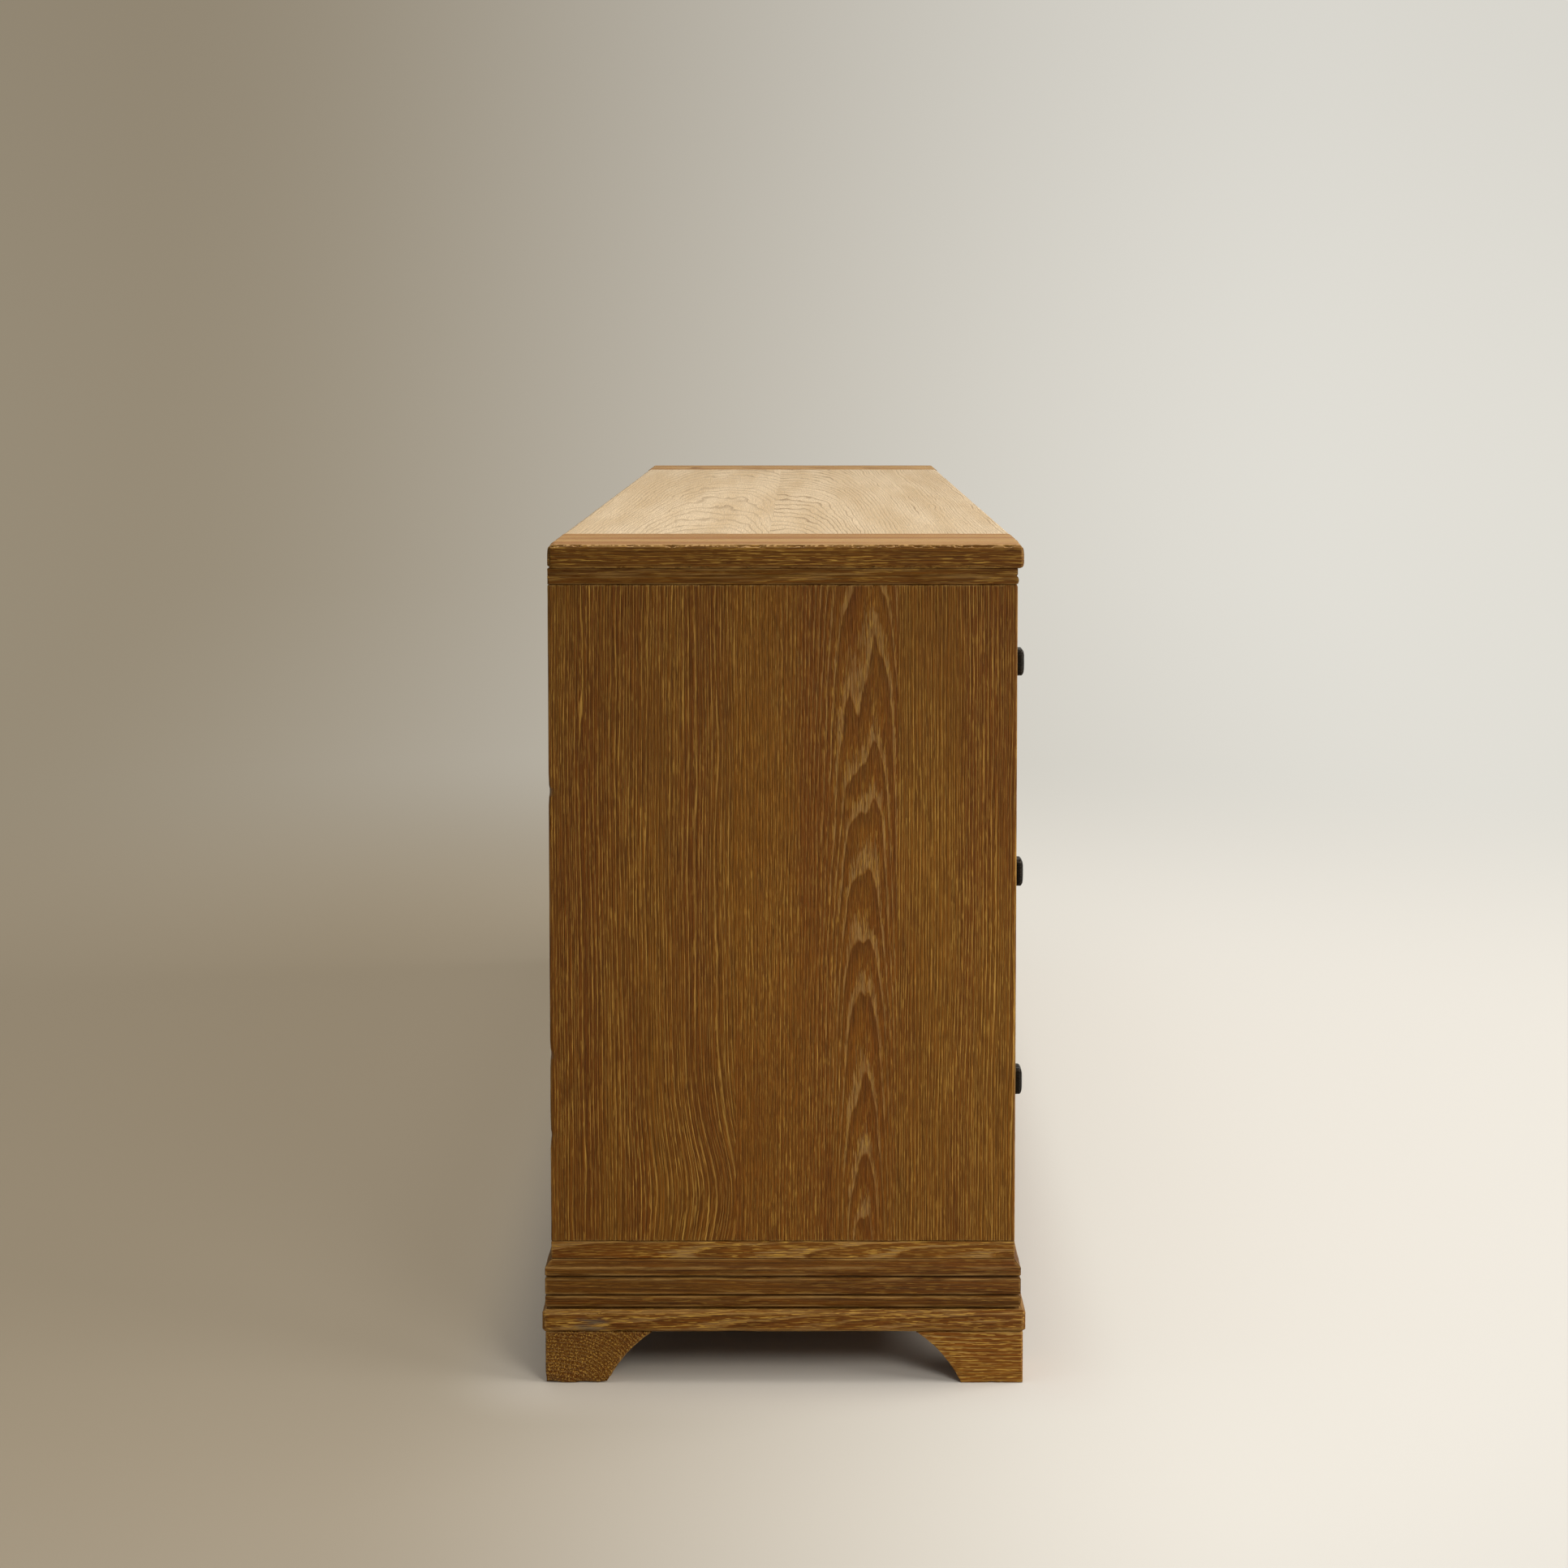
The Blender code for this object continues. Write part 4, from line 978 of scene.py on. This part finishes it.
# %% End panels
PANEL_SEAMS = (-0.1087, 0.0557)
PANEL_V = (0.0004, 0.0001)
EDGE_NICKS = (0.609, 0.339, 0.255)    # heights of small bites in the rear edge
NICK_EDGE = (-0.995, 0.2445)
NICK_SIZE, NICK_DEPTH = (0.006, 0.004, 0.007), 0.0016
NICK_STEP = 0.003
near_boards = [
    sawn("end_panel_left", Z, X, "front", heart=-0.40, depth=0.06, lean=0.015, rings=0.0031, wander=0.014,
         tone=-0.2, wax=0.95),
    sawn("end_panel_left", Z, X, "middle", heart=-0.0746, depth=0.015, lean=0.045, rings=0.0032,
         wander=0.008, tone=0.05, wax=0.58),
    sawn("end_panel_left", Z, X, "back", heart=-0.10, depth=0.08, lean=-0.02, rings=0.0037, wander=0.022,
         tone=-0.2, wax=0.9, swirl=(0.195, 0.062, 0.070, 0.018)),
]
panel_scribes = [(Y, seam, *PANEL_V) for seam in PANEL_SEAMS]
nick_cuts = [(Z, height + NICK_STEP * i) for height in EDGE_NICKS for i in range(-2, 3)]
nicks = [((*NICK_EDGE, height), NICK_SIZE, NICK_DEPTH, 1.0) for height in EDGE_NICKS]
timber("end_panel_left", glued(Y, PANEL_SEAMS, near_boards), step=0.016, arris=0.0012, chip=0.0007,
       scribes=panel_scribes, cuts=nick_cuts, knocks=nicks)
far_boards = [sawn("end_panel_right", Z, X, str(i)) for i in range(3)]
timber("end_panel_right", glued(Y, PANEL_SEAMS, far_boards), step=0.03, arris=0.0012, chip=0.0006,
       scribes=panel_scribes)
print("end panels:", [len(piece.data.polygons) for piece in made[-2:]], "faces")

# %% Inner boards, floor and back
INSIDE_STEP = 0.06
FLOOR_CLAMPS = (-0.955, 0.955)    # cross boards close the ends of the floor
CLAMP_V = (0.0004, 0.0002)
BACK_PLANKS = 14
BACK_V = (0.0022, 0.0016)
HEART_SWING, HEART_TURN = 0.05, 2.4    # the planks' hearts swing to both sides from plank to plank
for word in ("left", "right"):
    node = "partition_" + word
    timber(node, one_board(sawn(node, Z, X)), step=INSIDE_STEP, arris=0.001)
    for row in ("middle", "upper"):
        node = f"dust_board_{word}_{row}"
        timber(node, one_board(sawn(node, X, Z)), step=INSIDE_STEP, arris=0.0008)
floor_boards = [
    sawn("carcass_floor", Y, X, "left", heart=0.12, depth=0.03, tone=0.1, wax=0.8, flecks=1.5),
    sawn("carcass_floor", X, Z, "middle"),
    sawn("carcass_floor", Y, X, "right"),
]
timber("carcass_floor", glued(X, FLOOR_CLAMPS, floor_boards), step=0.03, arris=0.0008,
       scribes=[(X, seam, *CLAMP_V) for seam in FLOOR_CLAMPS])
timber("shelf", one_board(sawn("shelf", X, Z)), step=INSIDE_STEP)

low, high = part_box("back_panel")
back_seams = [low.x + (high.x - low.x) * i / BACK_PLANKS for i in range(1, BACK_PLANKS)]
back_boards = [sawn("back_panel", Z, Y, str(i)) for i in range(BACK_PLANKS)]
for index, board in enumerate(back_boards):
    plank_middle = low.x + (high.x - low.x) * (index + 0.5) / BACK_PLANKS
    board["heart"] = plank_middle + HEART_SWING * math.sin(HEART_TURN * index)
timber("back_panel", glued(X, back_seams, back_boards), step=0.08, arris=0.0008,
       scribes=[(X, seam, *BACK_V) for seam in back_seams])
print("carcass:", len(made), "pieces so far")

# %% [markdown]
# ## Base board and feet
# Under the moulding lies a flat board that is mitred at its corners like a picture frame, so its grain
# follows each side. Below it stand four bracket feet, each two brackets mitred at the corner. On the
# end in the picture the rear foot shows speckled end grain and the front one long grain.

# %% Base board
SCUFF = (-1.004, 0.203, 0.0614)
SCUFF_SIZE, SCUFF_DEPTH = (0.006, 0.019, 0.009), 0.0006
SCUFF_STEP = 0.004
SCUFF_HEIGHTS = (0.0575, 0.0614, 0.066, 0.071)
low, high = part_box("base_board")
base_sides = {
    "left": sawn("base_board", Y, X, "end_left", heart=0.03, depth=0.05, tone=-0.25, wax=0.6, flecks=1.5),
    "right": sawn("base_board", Y, X, "end_right"),
    "front": sawn("base_board", X, Y, "front"),
    "back": sawn("base_board", X, Y, "back"),
}


def nearest_side(centre, low, high):
    """The side of a box that a point is nearest to, and how far it is from there."""
    gaps = {"left": centre.x - low.x, "right": high.x - centre.x,
            "front": centre.y - low.y, "back": high.y - centre.y}
    side = min(gaps, key=gaps.get)
    return side, gaps[side]


def base_side(centre):
    return base_sides[nearest_side(centre, low, high)[0]]


corner_mitres = [((x, y, 0.0), (1.0, turn, 0.0)) for x, y, turn in (
    (low.x, low.y, -1.0), (low.x, high.y, 1.0), (high.x, low.y, 1.0), (high.x, high.y, -1.0))]
scuff_cuts = [(Y, SCUFF[1] + SCUFF_STEP * i) for i in range(-5, 6)]
scuff_cuts += [(Z, height) for height in SCUFF_HEIGHTS]
timber("base_board", base_side, step=0.02, chip=0.0012, mitres=corner_mitres, cuts=scuff_cuts,
       knocks=[(SCUFF, SCUFF_SIZE, SCUFF_DEPTH, 1.0)])
print("base board:", len(made[-1].data.polygons), "faces")

# %% Feet
FOOT_BRACKET = 0.024              # thickness of each bracket
FOOT_KNOCKS = {"foot_back_left": [    # spot, size, depth and stain
    ((-1.0, 0.181, 0.0), (0.012, 0.014, 0.007), 0.0024, 0.3),
    ((-1.0, 0.210, 0.0), (0.012, 0.010, 0.005), 0.0015, 0.2),
    ((-1.0, 0.247, 0.0), (0.012, 0.012, 0.008), 0.0020, 0.3),
]}
for depth_word in ("front", "back"):
    for word, side in (("left", -1), ("right", 1)):
        node = f"foot_{depth_word}_{word}"
        if depth_word == "back":
            end_bracket = sawn(node, X, Z, "end", tone=-0.5, wax=0.5, flecks=2.0, coarse=0.7)
        else:
            end_bracket = sawn(node, Y, X, "end", tone=0.8, wax=1.1, flecks=2.0)
        long_bracket = sawn(node, X, Y, "long")
        foot_low, foot_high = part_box(node)
        outer_x = foot_low.x if side < 0 else foot_high.x

        def foot_side(centre, outer_x=outer_x, end=end_bracket, long=long_bracket):
            return end if abs(centre.x - outer_x) < FOOT_BRACKET else long

        timber(node, foot_side, step=0.006, arris=0.0008, chip=0.0018, knocks=FOOT_KNOCKS.get(node, ()))
print("feet made")

# %% [markdown]
# ## Drawers
# Each drawer is a stained front on a raw box. The grain of a front runs along the sideboard. The box
# is one solid in the frame, so its copy is cut where the walls meet, and each wall and the bottom get
# grain of their own direction.

# %% Drawer fronts and boxes
DRAWER_WALL = 0.012


def box_boards(node):
    low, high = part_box(node)
    walls = {"left": sawn(node, Y, X, "side_left"), "right": sawn(node, Y, X, "side_right"),
             "front": sawn(node, X, Y, "front"), "back": sawn(node, X, Y, "back")}
    bottom = sawn(node, X, Z, "bottom")

    def wall_of(centre):
        side, gap = nearest_side(centre, low, high)
        return walls[side] if gap < DRAWER_WALL + WELD else bottom

    return wall_of, [(X, spot, *CLAMP_V) for spot in (low.x + DRAWER_WALL, high.x - DRAWER_WALL)]


for word in ("left", "right"):
    for row in ("lower", "middle", "upper"):
        drawer = f"drawer_{word}_{row}"
        timber(drawer + "_front", one_board(sawn(drawer + "_front", X, Y)), step=0.03)
        wall_of, joints = box_boards(drawer + "_box")
        timber(drawer + "_box", wall_of, step=INSIDE_STEP, arris=0.0008, scribes=joints)
print("drawers:", len(made), "pieces so far")

# %% [markdown]
# ## Doors
# A door is a frame of two stiles and two rails round a thin panel. In the frame of this lesson the four
# members are one solid, so the copy is scribed where a rail meets a stile, and the grain turns there.

# %% Door frames and panels
DOOR_STILE = 0.075
for word in ("left", "right"):
    node = f"door_{word}_frame"
    low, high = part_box(node)
    stiles = {"first": sawn(node, Z, Y, "first"), "second": sawn(node, Z, Y, "second")}
    rails = {"lower": sawn(node, X, Y, "lower"), "upper": sawn(node, X, Y, "upper")}

    def member_of(centre, low=low, high=high, stiles=stiles, rails=rails):
        if centre.x < low.x + DOOR_STILE:
            return stiles["first"]
        if centre.x > high.x - DOOR_STILE:
            return stiles["second"]
        return rails["lower" if centre.z < (low.z + high.z) / 2 else "upper"]

    joints = [(X, spot, *SEAM_V) for spot in (low.x + DOOR_STILE, high.x - DOOR_STILE)]
    timber(node, member_of, step=0.03, scribes=joints)
    node = f"door_{word}_panel"
    timber(node, one_board(sawn(node, Z, Y, depth=0.04, lean=0.03)), step=0.04)
print("doors:", len(made), "pieces so far")

# %% [markdown]
# ## Knobs, hinges and catches
# The ironwork was cast and filed, so its edges are eased and its faces are not quite even. The same
# welded copy serves, with a finer bevel, and rubbed edges where fingers and keys have passed.

# %% Metal pieces
METAL_REACH = 0.0007              # how far from its edges metal is rubbed
METALWORK = {
    "dark_iron": {"prefix": "iron_", "ease": 0.0004, "step": 0.004, "dent": 0.00015},
    "aged_brass": {"prefix": "brass_", "ease": 0.0002, "step": 0.01, "dent": 0.00005},
}


def metalwork(node, prefix, ease, step, dent):
    bm = welded(node)
    outer = edge_ends(bm, lambda turn: turn > SHARP_TURN)
    hollow = edge_ends(bm, lambda turn: turn < -SHARP_TURN)
    ease_edges(bm, ease)
    cut_grid(bm, node, step)
    wear(bm, outer, hollow, dent, METAL_REACH)
    return dress(node, bm, prefix)


for node, slot in sorted(SLOT_OF.items()):
    if slot in METALWORK:
        metalwork(node, **METALWORK[slot])
print("all pieces:", len(made), "faces:", sum(len(piece.data.polygons) for piece in made))

# %% [markdown]
# ## Check the size
# Wear only takes material away, so the dressed sideboard should still fill the box of its solids. Both
# boxes are measured and set side by side, and what is printed, their difference in millimetres, should be
# zero or very near it: more would mean that a point was pushed out of its solid.

# %% Compare the boxes and finish
new_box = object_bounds()
old_sides, new_sides = [[*low, *high] for low, high in (cad_box, new_box)]
grown = [round(1000 * (new - old), 2) for old, new in zip(old_sides, new_sides)]
print("box grew by", grown, "mm")
